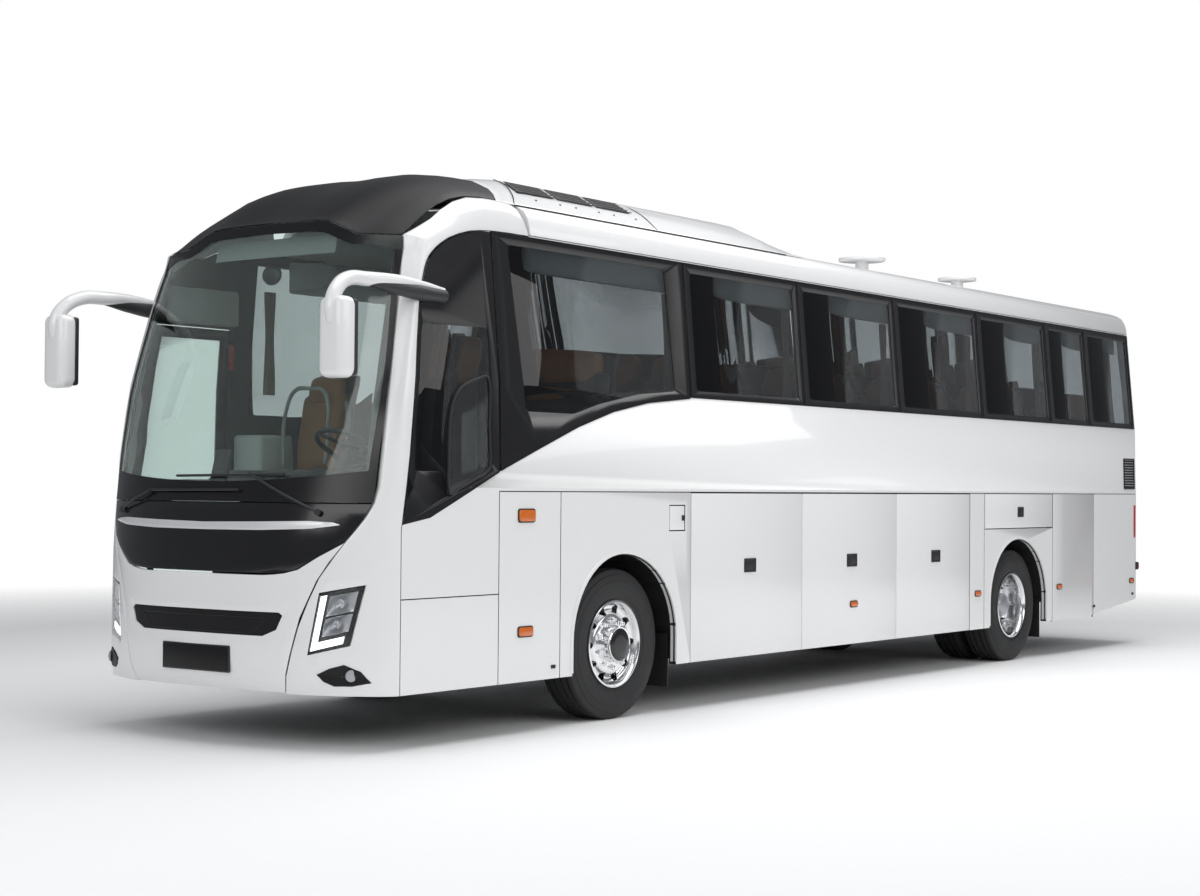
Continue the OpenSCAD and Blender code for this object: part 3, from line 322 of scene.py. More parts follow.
# %% A maker of materials
def finish(name, color, rough, metal=0.0, coat=0.0, amount=0.04, size=3.0, bump=0.02, cloth=0.0, **sockets):
    """A Principled material whose colour and roughness come through a shared group."""
    mat = bpy.data.materials.new(name)
    mat.use_nodes = True
    tree = mat.node_tree
    bsdf = tree.nodes["Principled BSDF"]
    group = tree.nodes.new("ShaderNodeGroup")
    group.node_tree = weave if cloth else mottle
    group.inputs["Color"].default_value = (*color, 1)
    bumper = tree.nodes.new("ShaderNodeBump")
    bumper.inputs["Distance"].default_value = 0.001
    bumper.inputs["Strength"].default_value = bump
    tree.links.new(group.outputs["Color"], bsdf.inputs["Base Color"])
    tree.links.new(group.outputs["Height"], bumper.inputs["Height"])
    tree.links.new(bumper.outputs["Normal"], bsdf.inputs["Normal"])
    if cloth:
        group.inputs["Thread"].default_value = cloth
        bsdf.inputs["Roughness"].default_value = rough
    else:
        group.inputs["Amount"].default_value = amount
        group.inputs["Size"].default_value = size
        group.inputs["Roughness"].default_value = rough
        tree.links.new(group.outputs["Roughness"], bsdf.inputs["Roughness"])
    bsdf.inputs["Metallic"].default_value = metal
    bsdf.inputs["Coat Weight"].default_value = coat
    bsdf.inputs["Coat Roughness"].default_value = 0.04
    for socket, value in sockets.items():
        bsdf.inputs[socket.replace("_", " ")].default_value = value
    return mat


white = finish("white_paint", (0.80, 0.80, 0.80), 0.28, coat=0.6, amount=0.02, size=1.2, bump=0.01)
black_gloss = finish("black_gloss", (0.007, 0.007, 0.008), 0.2, coat=0.2, amount=0.05, size=2.0, bump=0.01)
black_satin = finish("black_satin", (0.006, 0.006, 0.007), 0.42, amount=0.1, size=2.0, bump=0.04,
                     Specular_IOR_Level=0.3)
black_trim = finish("black_trim", (0.012, 0.012, 0.013), 0.55, amount=0.2, size=8, bump=0.3)
seal = finish("seal_rubber", (0.008, 0.008, 0.008), 0.7, amount=0.2, size=10, bump=0.3)
frit = finish("frit", (0.006, 0.006, 0.007), 0.25, amount=0.1, size=5, bump=0.02)
tyre_rubber = finish("tyre_rubber", (0.016, 0.016, 0.017), 0.62, amount=0.25, size=7, bump=0.5)
alloy = finish("polished_alloy", (0.82, 0.82, 0.83), 0.16, metal=1.0, amount=0.15, size=14, bump=0.05)
strip_metal = finish("brushed_strip", (0.88, 0.88, 0.89), 0.42, metal=0.6, amount=0.05, size=6, bump=0.02)
chrome = finish("chrome", (0.9, 0.9, 0.91), 0.06, metal=1.0, amount=0.05, size=6, bump=0.01)
silver_paint = finish("silver_paint", (0.42, 0.43, 0.45), 0.3, metal=0.7, amount=0.1, size=9, bump=0.05)
chassis = finish("chassis_paint", (0.02, 0.021, 0.023), 0.5, amount=0.3, size=5, bump=0.3)
plastic_grey = finish("grey_lining", (0.30, 0.315, 0.32), 0.5, amount=0.1, size=5, bump=0.2)
plastic_pale = finish("pale_lining", (0.55, 0.57, 0.56), 0.5, amount=0.08, size=5, bump=0.2)
plastic_dark = finish("dark_plastic", (0.02, 0.021, 0.023), 0.45, amount=0.2, size=6, bump=0.3)
carpet = finish("floor_carpet", (0.06, 0.065, 0.07), 0.9, cloth=300.0, bump=0.6)
seat_cloth = finish("seat_cloth", (0.035, 0.037, 0.042), 0.8, cloth=420.0, bump=0.5, Sheen_Weight=0.3)
tan_leather = finish("tan_leather", (0.27, 0.125, 0.055), 0.5, amount=0.3, size=40, bump=0.6)
curtain_cloth = finish("curtain_cloth", (0.30, 0.26, 0.22), 0.85, cloth=500.0, bump=0.4, Sheen_Weight=0.2)
amber = finish("amber_lens", (0.62, 0.13, 0.006), 0.12, coat=0.6, amount=0.15, size=60, bump=0.4)
red_lens = finish("red_lens", (0.45, 0.012, 0.012), 0.12, coat=0.6, amount=0.15, size=60, bump=0.4)
mirror_glass = finish("mirror_glass", (0.75, 0.77, 0.78), 0.03, metal=1.0, amount=0.02, size=4, bump=0.0)


def glass(name, color, rough=0.0):
    """See-through glass: transmission stays plain, and the tint lies in the base colour."""
    return finish(name, color, rough, amount=0.02, size=2, bump=0.0, Transmission_Weight=1.0, IOR=1.45)


side_glass = glass("side_glass", (0.44, 0.47, 0.48))
screen_glass = glass("screen_glass", (0.66, 0.76, 0.73))
door_glass = glass("door_glass", (0.72, 0.80, 0.78))
lens_glass = glass("lens_glass", (0.95, 0.96, 0.97))
glow = finish("daylight_strip", (0.95, 0.97, 1.0), 0.3, Emission_Color=(0.95, 0.97, 1.0, 1),
              Emission_Strength=1.6)
print("materials:", len(bpy.data.materials))

# %% [markdown]
# ## Working tools
# New pieces start as a primitive or as one flat outline, and are shaped with the same operators a person
# would press in edit mode. These helpers keep each step to one line. Everything is deselected first,
# because an operator acts on all that is selected.

# %% Helpers for edit-mode work
def only(obj):
    """Make obj the one selected, active object."""
    bpy.ops.object.select_all(action="DESELECT")
    obj.select_set(True)
    bpy.context.view_layer.objects.active = obj
    return obj


def edit(obj, *steps):
    """Run edit-mode steps, each a function, on everything in obj."""
    only(obj)
    bpy.ops.object.mode_set(mode="EDIT")
    bpy.ops.mesh.select_all(action="SELECT")
    for step in steps:
        step()
    bpy.ops.object.mode_set(mode="OBJECT")
    return obj


def add_modifier(obj, kind, **settings):
    """Add a modifier and apply it at once."""
    only(obj)
    mod = obj.modifiers.new(kind.lower(), kind)
    for key, value in settings.items():
        setattr(mod, key, value)
    bpy.ops.object.modifier_apply(modifier=mod.name)
    return obj


def smooth(obj, angle=35):
    only(obj)
    bpy.ops.object.shade_smooth_by_angle(angle=math.radians(angle), keep_sharp_edges=False)
    return obj


def settle(obj, mat, body="coach_body"):
    """Give a finished piece its material and the body it rides on."""
    only(obj)
    bpy.ops.object.transform_apply(location=True, rotation=True, scale=True)
    if mat is not None:
        obj.data.materials.clear()
        obj.data.materials.append(mat)
    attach(obj, body)
    return obj


def soft_box(name, low, high, mat, body="coach_body", round_off=0.006, segments=2):
    """A cube set between two corners, with its edges rounded."""
    bpy.ops.object.select_all(action="DESELECT")
    low, high = Vector(low), Vector(high)
    bpy.ops.mesh.primitive_cube_add(size=1, location=(low + high) / 2)
    obj = bpy.context.object
    obj.name = name
    obj.scale = high - low
    bpy.ops.object.transform_apply(location=True, rotation=True, scale=True)
    add_modifier(obj, "BEVEL", width=round_off, segments=segments, limit_method="NONE")
    smooth(obj)
    return settle(obj, mat, body)


def from_outline(name, points, push, round_off=0.0, segments=2):
    """One flat face through the points, extruded along push; its rims may be rounded."""
    mesh = bpy.data.meshes.new(name)
    mesh.from_pydata([Vector(p) for p in points], [], [tuple(range(len(points)))])
    obj = bpy.data.objects.new(name, mesh)
    scene.collection.objects.link(obj)
    edit(obj, lambda: bpy.ops.mesh.extrude_region_move(TRANSFORM_OT_translate={"value": Vector(push)}),
         lambda: bpy.ops.mesh.select_all(action="SELECT"),
         lambda: bpy.ops.mesh.normals_make_consistent(inside=False))
    if round_off:
        add_modifier(obj, "BEVEL", width=round_off, segments=segments, limit_method="ANGLE",
                     angle_limit=math.radians(50))
    return smooth(obj)


def spun(name, profile, centre, steps=96, axis=(0, 1, 0)):
    """A closed profile of (along the axle, radius) pairs, spun right round the axle."""
    mesh = bpy.data.meshes.new(name)
    centre = Vector(centre)
    mesh.from_pydata([centre + Vector((0, a, r)) for a, r in profile],
                     [(i, (i + 1) % len(profile)) for i in range(len(profile))], [])
    obj = bpy.data.objects.new(name, mesh)
    scene.collection.objects.link(obj)
    edit(obj, lambda: bpy.ops.mesh.spin(steps=steps, angle=math.tau, center=centre, axis=axis),
         lambda: bpy.ops.mesh.select_all(action="SELECT"),
         lambda: bpy.ops.mesh.remove_doubles(threshold=0.00005),
         lambda: bpy.ops.mesh.normals_make_consistent(inside=False))
    return smooth(obj, 30)


def sheet_piece(name, rows, thickness, mat=None, body="coach_body", closed=False):
    """A curved sheet through rows of points, given its thickness by Solidify."""
    mesh = bpy.data.meshes.new(name)
    cols = len(rows[0])
    faces = [(r * cols + c, r * cols + c + 1, (r + 1) * cols + c + 1, (r + 1) * cols + c)
             for r in range(len(rows) - 1) for c in range(cols - 1)]
    mesh.from_pydata([p for row in rows for p in row], [], faces)
    obj = bpy.data.objects.new(name, mesh)
    scene.collection.objects.link(obj)
    if thickness:
        add_modifier(obj, "SOLIDIFY", thickness=thickness, offset=0)
    smooth(obj, 40)
    return settle(obj, mat, body) if mat else obj


def tube(name, points, radius, mat, body="coach_body", ends=True, cyclic=False, sides=4, taper=None):
    """A round bar along a smooth line through the points; taper lists its thickness at each."""
    curve = bpy.data.curves.new(name, "CURVE")
    curve.dimensions = "3D"
    curve.bevel_depth = radius
    curve.bevel_resolution = sides
    curve.use_fill_caps = ends
    line = curve.splines.new("BEZIER")
    line.bezier_points.add(len(points) - 1)
    for knot, p in zip(line.bezier_points, points):
        knot.co = p
        knot.handle_left_type = knot.handle_right_type = "AUTO"
    for knot, share in zip(line.bezier_points, taper or []):
        knot.radius = share
    line.use_cyclic_u = cyclic
    obj = bpy.data.objects.new(name, curve)
    scene.collection.objects.link(obj)
    only(obj)
    bpy.ops.object.convert(target="MESH")
    smooth(bpy.context.object)
    return settle(bpy.context.object, mat, body)


def join(name, parts):
    """Join finished pieces into one mesh under a new name."""
    bpy.ops.object.select_all(action="DESELECT")
    for part in parts:
        part.select_set(True)
    bpy.context.view_layer.objects.active = parts[0]
    bpy.ops.object.join()
    parts[0].name = name
    return parts[0]


def refined(node, mat, round_off=0.004, angle=35, merge_flat=True):
    """A copy of a CAD part as a clean mesh, its edges rounded, that stands in for the part."""
    source = nodes[node]
    obj = source.copy()
    obj.data = source.data.copy()
    obj.name = node + "_finished"
    obj.parent = None
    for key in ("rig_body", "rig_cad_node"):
        if key in obj:
            del obj[key]
    scene.collection.objects.link(obj)
    edit(obj, lambda: bpy.ops.mesh.remove_doubles(threshold=0.00002))
    if merge_flat:
        edit(obj, lambda: bpy.ops.mesh.dissolve_limited(angle_limit=math.radians(0.5)))
    else:
        edit(obj, lambda: bpy.ops.mesh.tris_convert_to_quads())
    obj.data.materials.clear()
    obj.data.materials.append(mat)
    if round_off:
        add_modifier(obj, "BEVEL", width=round_off, segments=2, limit_method="ANGLE",
                     angle_limit=math.radians(40))
    smooth(obj, angle)
    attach(obj, source["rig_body"])
    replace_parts(obj, node)
    return obj


# %% [markdown]
# ## Body panels
# The CAD panels are right in shape. Sheet metal never has a knife edge though, so each panel is copied, its
# loose triangles are merged, and a small bevel is put on its rims. The seams between fixed panels are real
# grooves, cut with thin boxes, with a dark seal lying in each.

# %% Curved front and roof panels
for node, mat in (("front_corners", white), ("front_bumper", white), ("roof_pod", white),
                  ("rear_wall", white), ("front_panel", black_gloss), ("front_dome", black_satin),
                  ("engine_lid", white)):
    refined(node, mat, round_off=0.003, angle=30, merge_flat=False)
for node, mat in (("roof_shell", white), ("roof_aerials", white)):
    refined(node, mat, round_off=0.004, angle=40)
refined("windscreen", screen_glass, round_off=0, angle=30, merge_flat=False)
print("panels refined")

# %% [markdown]
# The side is one CAD wall. Its fixed panels are told apart by grooves: boxes a few millimetres wide are cut
# out of the skin, and slimmer dark boxes are laid in them as seals.

# %% Side walls with their seams
# Places of the seams, ahead of the front axle
driver_seam, arch_seam, bay_seam = 1.352, 0.707, -0.843
driver_seam_z = 0.92
bay_rear = rear_axle + 1.015
arch_front = rear_axle + 0.72
arch_rear = rear_axle - 0.782
tail_seam = tail_x + 0.25
waist = 1.578
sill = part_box("bay_door_left_1")[0].z
seam_w, seam_deep = 0.007, 0.014
tail_door_x = arch_rear - (arch_rear - tail_seam) * 0.472


def seam_boxes(side, width, y_low, y_high):
    """Low and high corners of every seam on one side."""
    half = width / 2
    upright = (driver_seam, arch_seam, bay_seam, bay_rear, arch_front, arch_rear, tail_door_x)
    boxes = [((axle_x + x - half, y_low, sill - 0.01), (axle_x + x + half, y_high, waist)) for x in upright]
    boxes.append(((axle_x + tail_seam - 0.02, y_low, waist - half),
                  (axle_x + driver_seam, y_high, waist + half)))
    if side > 0:
        boxes.append(((axle_x + driver_seam, y_low, driver_seam_z - half),
                      (axle_x + 2.3, y_high, driver_seam_z + half)))
    return boxes


def box_cluster(name, boxes, side):
    """Many plain boxes in one mesh, mirrored to a side."""
    mesh = bpy.data.meshes.new(name)
    bm = bmesh.new()
    for low, high in boxes:
        made = bmesh.ops.create_cube(bm, size=1)
        middle = (Vector(low) + Vector(high)) / 2
        for vert in made["verts"]:
            vert.co = Vector((vert.co[i] * (high[i] - low[i]) for i in range(3))) + middle
            vert.co.y *= side
    bmesh.ops.recalc_face_normals(bm, faces=bm.faces)
    bm.to_mesh(mesh)
    bm.free()
    obj = bpy.data.objects.new(name, mesh)
    scene.collection.objects.link(obj)
    return obj


def cut(obj, cutter):
    """Subtract cutter from obj and throw the cutter away."""
    add_modifier(obj, "BOOLEAN", object=cutter, operation="DIFFERENCE", solver="EXACT", use_self=True)
    bpy.data.objects.remove(cutter)


def darken_inside(obj, dark_mat, depth=0.004):
    """Faces that aren't on the outer skin take the dark trim: on the walls of the seam grooves this is
    painted shade, and round the openings and behind the skin it is the black ledge that the panes lie on.
    """
    obj.data.materials.append(dark_mat)
    for face in obj.data.polygons:
        middle = face.center
        outer = side_y(middle.z) - abs(middle.y)
        if outer > depth:
            face.material_index = 1


for name, sign in (("side_wall_left", 1), ("side_wall_right", -1)):
    wall = refined(name, white, round_off=0)
    cut(wall, box_cluster("cutter", seam_boxes(sign, seam_w, half_w - seam_deep, half_w + 0.05), sign))
    smooth(wall, 30)
    # Painted shade: the walls of the seam grooves take the dark trim, so the seams read darker than their
    # own shade makes them.
    darken_inside(wall, black_trim)
    seals = box_cluster("seam_seals_" + name[10:],
                        seam_boxes(sign, seam_w * 0.98, half_w - seam_deep - 0.001, half_w - 0.006), sign)
    settle(seals, seal)
print("walls cut")

for name in ("bay_door_left_1", "bay_door_left_2", "bay_door_left_3", "bay_door_right_1",
             "bay_door_right_2", "locker_flap", "fuel_flap"):
    refined(name, white, round_off=0.003)

# %% [markdown]
# ## Glass
# The side panes are bonded flush, dark grey, and lie in front of the black ledge of the wall: that ledge is
# what closes the gap behind the printed border.

# %% Panes and doors
refined("body_glass", side_glass, round_off=0.0015)
for name, mat in (("front_door", black_gloss), ("mid_door", black_gloss), ("front_door_glass", door_glass),
                  ("mid_door_glass", side_glass)):
    refined(name, mat, round_off=0.003)
dress = {"underframe": chassis, "engine": chassis, "front_axle": chassis, "rear_axle": chassis,
         "mudflaps": black_trim, "wheel_housings": black_trim, "knuckle_left": chassis,
         "knuckle_right": chassis, "front_door_arm": chassis, "mid_door_arm": chassis}
for name, mat in dress.items():
    nodes[name].data.materials.clear()
    nodes[name].data.materials.append(mat)

# %% [markdown]
# ## Front details
# Everything on the nose is laid out on the same curved surface: a share of the half width, a height, and a
# depth below the paint. Thin parts are sheets through rows of such points, made solid afterwards.

# %% Black border of the windscreen
screen_top = [(0, 3.294), (0.43, 3.288), (0.546, 3.235), (0.642, 3.183), (0.9, 3.164)]
clear_top = [(0, 3.225), (0.42, 3.214), (0.609, 3.12), (0.771, 3.107), (0.885, 3.05)]


def clear_low(v):
    """Lower edge of the clear glass."""
    return 1.63 + 0.07 * (abs(v) / 0.9) ** 2


def border_loops():
    """Matching points on the screen's edge and on the clear glass's edge, counter-clockwise."""
    outer, inner = [], []
    across = [i / 14 for i in range(-14, 15)]
    upright = [i / 14 for i in range(1, 14)]
    for s in across:
        outer.append((s * 0.913, 1.505))
        inner.append((s * 0.885, clear_low(s * 0.885)))
    for u in upright:
        edge = 0.913 - 0.013 * u + 0.024 * math.sin(math.pi * u)
        outer.append((edge, 1.505 + u * 1.655))
        inner.append((edge - 0.028, 1.70 + u * 1.35))
    for s in reversed(across):
        outer.append((s * 0.9, lookup(abs(s * 0.9), screen_top) - 0.004))
        inner.append((s * 0.872, lookup(abs(s * 0.872), clear_top)))
    for u in reversed(upright):
        edge = 0.913 - 0.013 * u + 0.024 * math.sin(math.pi * u)
        outer.append((-edge, 1.505 + u * 1.655))
        inner.append((-edge + 0.028, 1.70 + u * 1.35))
    return outer, inner


outer, inner = border_loops()
outer.append(outer[0])
inner.append(inner[0])
rows = [[front_point(v, z, -0.002) for v, z in outer],
        [front_point((a[0] + b[0]) / 2, (a[1] + b[1]) / 2, -0.002) for a, b in zip(outer, inner)],
        [front_point(v, z, -0.002) for v, z in inner]]
sheet_piece("screen_border", rows, 0.0015, frit)
print("border points:", len(outer))

# %% [markdown]
# The strip under the screen runs to a point at both ends. The intake is filled by a black insert that lies
# a little below the paint, with a fine ridge on it, and the number plate stays blank.

# %% Chrome strip, mouth insert and plate
strip_top = [(0, 1.376), (0.371, 1.384), (0.645, 1.392), (0.77, 1.383), (0.785, 1.372)]
strip_low = [(0, 1.33), (0.371, 1.333), (0.645, 1.345), (0.77, 1.366), (0.785, 1.370)]
spread = [0.785 * i / 24 for i in range(-24, 25)]
rows = [[front_point(v, lookup(abs(v), strip_low), -0.002) for v in spread],
        [front_point(v, (lookup(abs(v), strip_low) + lookup(abs(v), strip_top)) / 2, -0.009)
         for v in spread],
        [front_point(v, lookup(abs(v), strip_top), -0.002) for v in spread]]
sheet_piece("chrome_strip", rows, 0.003, strip_metal)
mouth_half = [(0.690, 0.43), (0.731, 0.502), (0.80, 0.525), (0.818, 0.532), (0.834, 0.512)]
spread = [i / 16 for i in range(-16, 17)]
rows = [[front_point(s * half, z, 0.012) for s in spread] for z, half in mouth_half]
sheet_piece("mouth_insert", rows, 0.006, black_satin)
ridge = [(0.705, 0.36), (0.80, 0.44)]
for z, half in ridge:
    tube("mouth_line_%d" % (z * 1000), [front_point(s * half, z, 0.008) for s in spread[::4]], 0.0022,
         black_gloss)
for sign in (-1, 1):
    tube("mouth_line_side_%s" % ("left" if sign > 0 else "right"),
         [front_point(sign * 0.36, 0.705, 0.008), front_point(sign * 0.44, 0.80, 0.008)], 0.0022,
         black_gloss)
plate_x = front_point(0.0, 0.53).x
soft_box("number_plate", (plate_x - 0.006, -0.306, 0.463), (plate_x + 0.014, 0.277, 0.61), black_satin,
         round_off=0.004)
soft_box("plate_rim", (plate_x - 0.008, -0.316, 0.453), (plate_x + 0.008, 0.287, 0.62), plastic_dark)

# %% [markdown]
# Each headlamp is a black tray behind a clear lens. In it lie two silvered bowls and an L-shaped daylight
# strip. A bowl is a grid whose middle is pushed back, which is quicker and cleaner than a spun form on a
# slanting lamp.

# %% Headlamps
lamp_corners = [(0.717, 0.955), (0.898, 1.006), (0.843, 0.652), (0.668, 0.590)]


def lamp_point(s, u, depth, sign):
    """A place in the lamp: s outwards, u upwards, both from 0 to 1."""
    top = [lamp_corners[0][i] + (lamp_corners[1][i] - lamp_corners[0][i]) * s for i in (0, 1)]
    low = [lamp_corners[3][i] + (lamp_corners[2][i] - lamp_corners[3][i]) * s for i in (0, 1)]
    return front_point(sign * (low[0] + (top[0] - low[0]) * u), low[1] + (top[1] - low[1]) * u, depth)


def lamp_patch(name, s0, s1, u0, u1, depth, thick, mat, sign, dish=0.0, n=8):
    rows = []
    for i in range(n + 1):
        row = []
        for j in range(n + 1):
            a, b = j / n, i / n
            hollow = dish * max(0.0, 1 - (2 * a - 1) ** 2) * max(0.0, 1 - (2 * b - 1) ** 2)
            row.append(lamp_point(s0 + (s1 - s0) * a, u0 + (u1 - u0) * b, depth + hollow, sign))
        rows.append(row)
    return sheet_piece(name, rows, thick, mat)


def lamp_wall(name, depth0, depth1, mat, sign):
    """The rim of the tray: a band round the lamp between two depths."""
    ring = [(i / 8, 0) for i in range(8)] + [(1, i / 8) for i in range(8)]
    ring += [(1 - i / 8, 1) for i in range(8)] + [(0, 1 - i / 8) for i in range(9)]
    return sheet_piece(name, [[lamp_point(s, u, d, sign) for s, u in ring] for d in (depth0, depth1)],
                       0.004, mat)


lamps_made = []
for side_name, sign in (("left", 1), ("right", -1)):
    tray = join("headlamp_tray_" + side_name,
                [lamp_patch("back", 0.01, 0.99, 0.01, 0.99, 0.095, 0.004, black_gloss, sign),
                 lamp_wall("wall", 0.005, 0.095, black_gloss, sign)])
    lamp_patch("headlamp_lens_" + side_name, 0.005, 0.995, 0.005, 0.995, 0.004, 0.003, lens_glass, sign)
    for k, (u0, u1) in enumerate(((0.58, 0.92), (0.24, 0.54))):
        lamp_patch("headlamp_bowl_%s_%d" % (side_name, k + 1), 0.28, 0.93, u0, u1, 0.022, 0.002,
                   silver_paint, sign, 0.055, 12)
        lamp_patch("headlamp_frame_%s_%d" % (side_name, k + 1), 0.27, 0.94, u0 - 0.02, u1 + 0.02, 0.027,
                   0.003, black_gloss, sign, 0.06)
        bpy.ops.object.select_all(action="DESELECT")
        bpy.ops.mesh.primitive_uv_sphere_add(radius=0.028, segments=32, ring_count=16,
                                             location=lamp_point(0.6, (u0 + u1) / 2, 0.052, sign))
        bulb = bpy.context.object
        bulb.name = "headlamp_bulb_%s_%d" % (side_name, k + 1)
        bulb.scale = (0.6, 1, 1)
        bpy.ops.object.transform_apply(location=True, rotation=True, scale=True)
        edit(bulb, lambda: bpy.ops.mesh.bisect(plane_co=bulb.data.vertices[0].co - Vector((0.02, 0, 0)),
                                               plane_no=(1, 0, 0), use_fill=True, clear_inner=True))
        settle(smooth(bulb), lens_glass)
    lamp_patch("daylight_upright_" + side_name, 0.04, 0.19, 0.05, 0.95, 0.02, 0.01, glow, sign)
    lamp_patch("daylight_foot_" + side_name, 0.04, 0.86, 0.04, 0.165, 0.019, 0.01, glow, sign)
    lamps_made.append(tray)
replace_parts(lamps_made[0], "headlamps")
print("headlamps made:", len(lamps_made))

# %% [markdown]
# The fog lamps sit in almond-shaped pockets. A pocket is the same outline drawn in steps towards its
# middle.

# %% Fog lamps
almond = [(0.708, 0.469), (0.765, 0.507), (0.823, 0.529), (0.885, 0.49), (0.921, 0.425), (0.85, 0.405),
          (0.777, 0.404), (0.735, 0.43)]
centre_v, centre_z = 0.815, 0.462
for side_name, sign in (("left", 1), ("right", -1)):
    ring = almond + [almond[0]]
    rows = [[front_point(sign * (centre_v + (v - centre_v) * k), centre_z + (z - centre_z) * k, d)
             for v, z in ring]
            for k, d in ((1.04, 0.001), (1.0, -0.005), (0.93, -0.006), (0.88, -0.0035), (0.02, -0.003))]
    sheet_piece("fog_pocket_" + side_name, rows, 0.002, black_satin)
    spot = front_point(sign * 0.85, 0.467, -0.004)
    out = (front_point(sign * 0.85, 0.467, -0.1) - front_point(sign * 0.85, 0.467, 0.1)).normalized()
    turn_to = out.to_track_quat("Z", "Y")
    for label, radius, depth, mat in (("ring", 0.036, 0.014, silver_paint),
                                      ("lamp", 0.030, 0.022, lens_glass)):
        bpy.ops.object.select_all(action="DESELECT")
        bpy.ops.mesh.primitive_cylinder_add(radius=radius, depth=depth, vertices=48, location=spot)
        disc = bpy.context.object
        disc.name = "fog_%s_%s" % (label, side_name)
        disc.rotation_mode = "QUATERNION"
        disc.rotation_quaternion = turn_to
        bpy.ops.object.transform_apply(location=True, rotation=True, scale=True)
        add_modifier(disc, "BEVEL", width=0.004, segments=3, limit_method="ANGLE",
                     angle_limit=math.radians(60))
        settle(smooth(disc), mat)

# %% [markdown]
# A wiper is an arm bent at its elbow, a bar that follows the glass and a rubber lip under the bar.

# %% Wipers
def on_glass(v, z, off=0.0):
    return front_point(v, z, -off)


wipers = [("left", (0.676, 1.446), (0.251, 1.680), [(-0.259, 1.663), (0.1, 1.672), (0.463, 1.673)]),
          ("right", (-0.71, 1.442), (-0.44, 1.568), [(-0.47, 1.57), (-0.13, 1.574), (0.202, 1.578)])]
for side_name, pivot, elbow, blade in wipers:
    middle = ((pivot[0] + elbow[0]) / 2, (pivot[1] + elbow[1]) / 2)
    arm = tube("wiper_arm_" + side_name,
               [on_glass(*pivot, 0.02), on_glass(*middle, 0.034), on_glass(*elbow, 0.03)], 0.0085,
               plastic_dark)
    tube("wiper_pivot_" + side_name, [on_glass(*pivot, -0.002), on_glass(*pivot, 0.034)], 0.02,
         plastic_dark)
    dense = [(blade[0][0] + (blade[2][0] - blade[0][0]) * i / 8,
              blade[0][1] + (blade[2][1] - blade[0][1]) * i / 8) for i in range(9)]
    tube("wiper_bar_" + side_name, [on_glass(v, z, 0.021) for v, z in dense], 0.008, plastic_dark)
    sheet_piece("wiper_rubber_" + side_name,
                [[on_glass(v, z - 0.004, 0.016) for v, z in dense],
                 [on_glass(v, z - 0.006, 0.001) for v, z in dense]], 0.004, seal)
    if side_name == "left":
        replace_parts(arm, "wipers")
sensor = sheet_piece("sensor_box", [[front_point(v, z, 0.032) for v in (-0.047, 0.0, 0.061)]
                                    for z in (1.56, 1.65, 1.74, 1.826)], 0.034)
add_modifier(sensor, "BEVEL", width=0.012, segments=3, limit_method="ANGLE", angle_limit=math.radians(50))
settle(sensor, plastic_dark)
print("wipers and sensor box made")

# %% [markdown]
# The hooked mirrors hang ahead of the screen. The head is a cube with very round edges,
# and the arm is a thick tube that melts into it. The glass looks back, so from the front only the white
# shell shows.

# %% Mirrors
arm_path = [(1.87, 1.238, 2.825), (2.08, 1.236, 2.845), (2.30, 1.222, 2.852), (2.51, 1.197, 2.845),
            (2.70, 1.21, 2.83), (2.82, 1.235, 2.76), (2.875, 1.25, 2.66), (2.865, 1.253, 2.56)]
mirror_shells = []
for side_name, sign in (("left", 1), ("right", -1)):
    shell = soft_box("mirror_head_" + side_name, (axle_x + 2.755, sign * 1.253 - 0.103, 2.235),
                     (axle_x + 2.90, sign * 1.253 + 0.103, 2.715), white, round_off=0.055, segments=6)
    low, high = (axle_x + 2.745, sign * 1.253 - 0.098, 2.25), (axle_x + 2.80, sign * 1.253 + 0.098, 2.70)
    soft_box("mirror_rim_" + side_name, low, high, plastic_dark, round_off=0.02, segments=4)
    soft_box("mirror_glass_" + side_name, (axle_x + 2.742, sign * 1.253 - 0.082, 2.42),
             (axle_x + 2.75, sign * 1.253 + 0.082, 2.685), mirror_glass, round_off=0.003)
    soft_box("mirror_glass_wide_" + side_name, (axle_x + 2.742, sign * 1.253 - 0.082, 2.265),
             (axle_x + 2.75, sign * 1.253 + 0.082, 2.405), mirror_glass, round_off=0.003)
    tube("mirror_arm_" + side_name, [(axle_x + x, sign * y, z) for x, y, z in arm_path], 0.045, white,
         sides=10, taper=[0.35, 0.55, 0.85, 1, 1, 1, 1, 0.9])
    tube("mirror_arm_under_" + side_name, [(axle_x + x, sign * y, z) for x, y, z in
                                           ((1.865, 1.236, 2.79), (2.1, 1.234, 2.795), (2.3, 1.222, 2.808),
                                            (2.53, 1.205, 2.822))], 0.05,
         plastic_dark, sides=8, taper=[0.8, 1, 0.8, 0.35])
    mirror_shells.append(shell)
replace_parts(mirror_shells[0], "mirrors")
print("mirrors made:", len(mirror_shells))

# %% [markdown]
# ## Wheels
# A tyre is one profile spun round the axle: four grooves in the tread and small steps on the side. The rear
# wheels carry two of them, side by side, on one body.

# %% Tyres
tyre_half_w = (tyre_box[1].y - tyre_box[0].y) / 2
tyre_big = (tyre_box[1].z - tyre_box[0].z) / 2
wheel_mid = (tyre_box[0].y + tyre_box[1].y) / 2
bead_r = 0.303


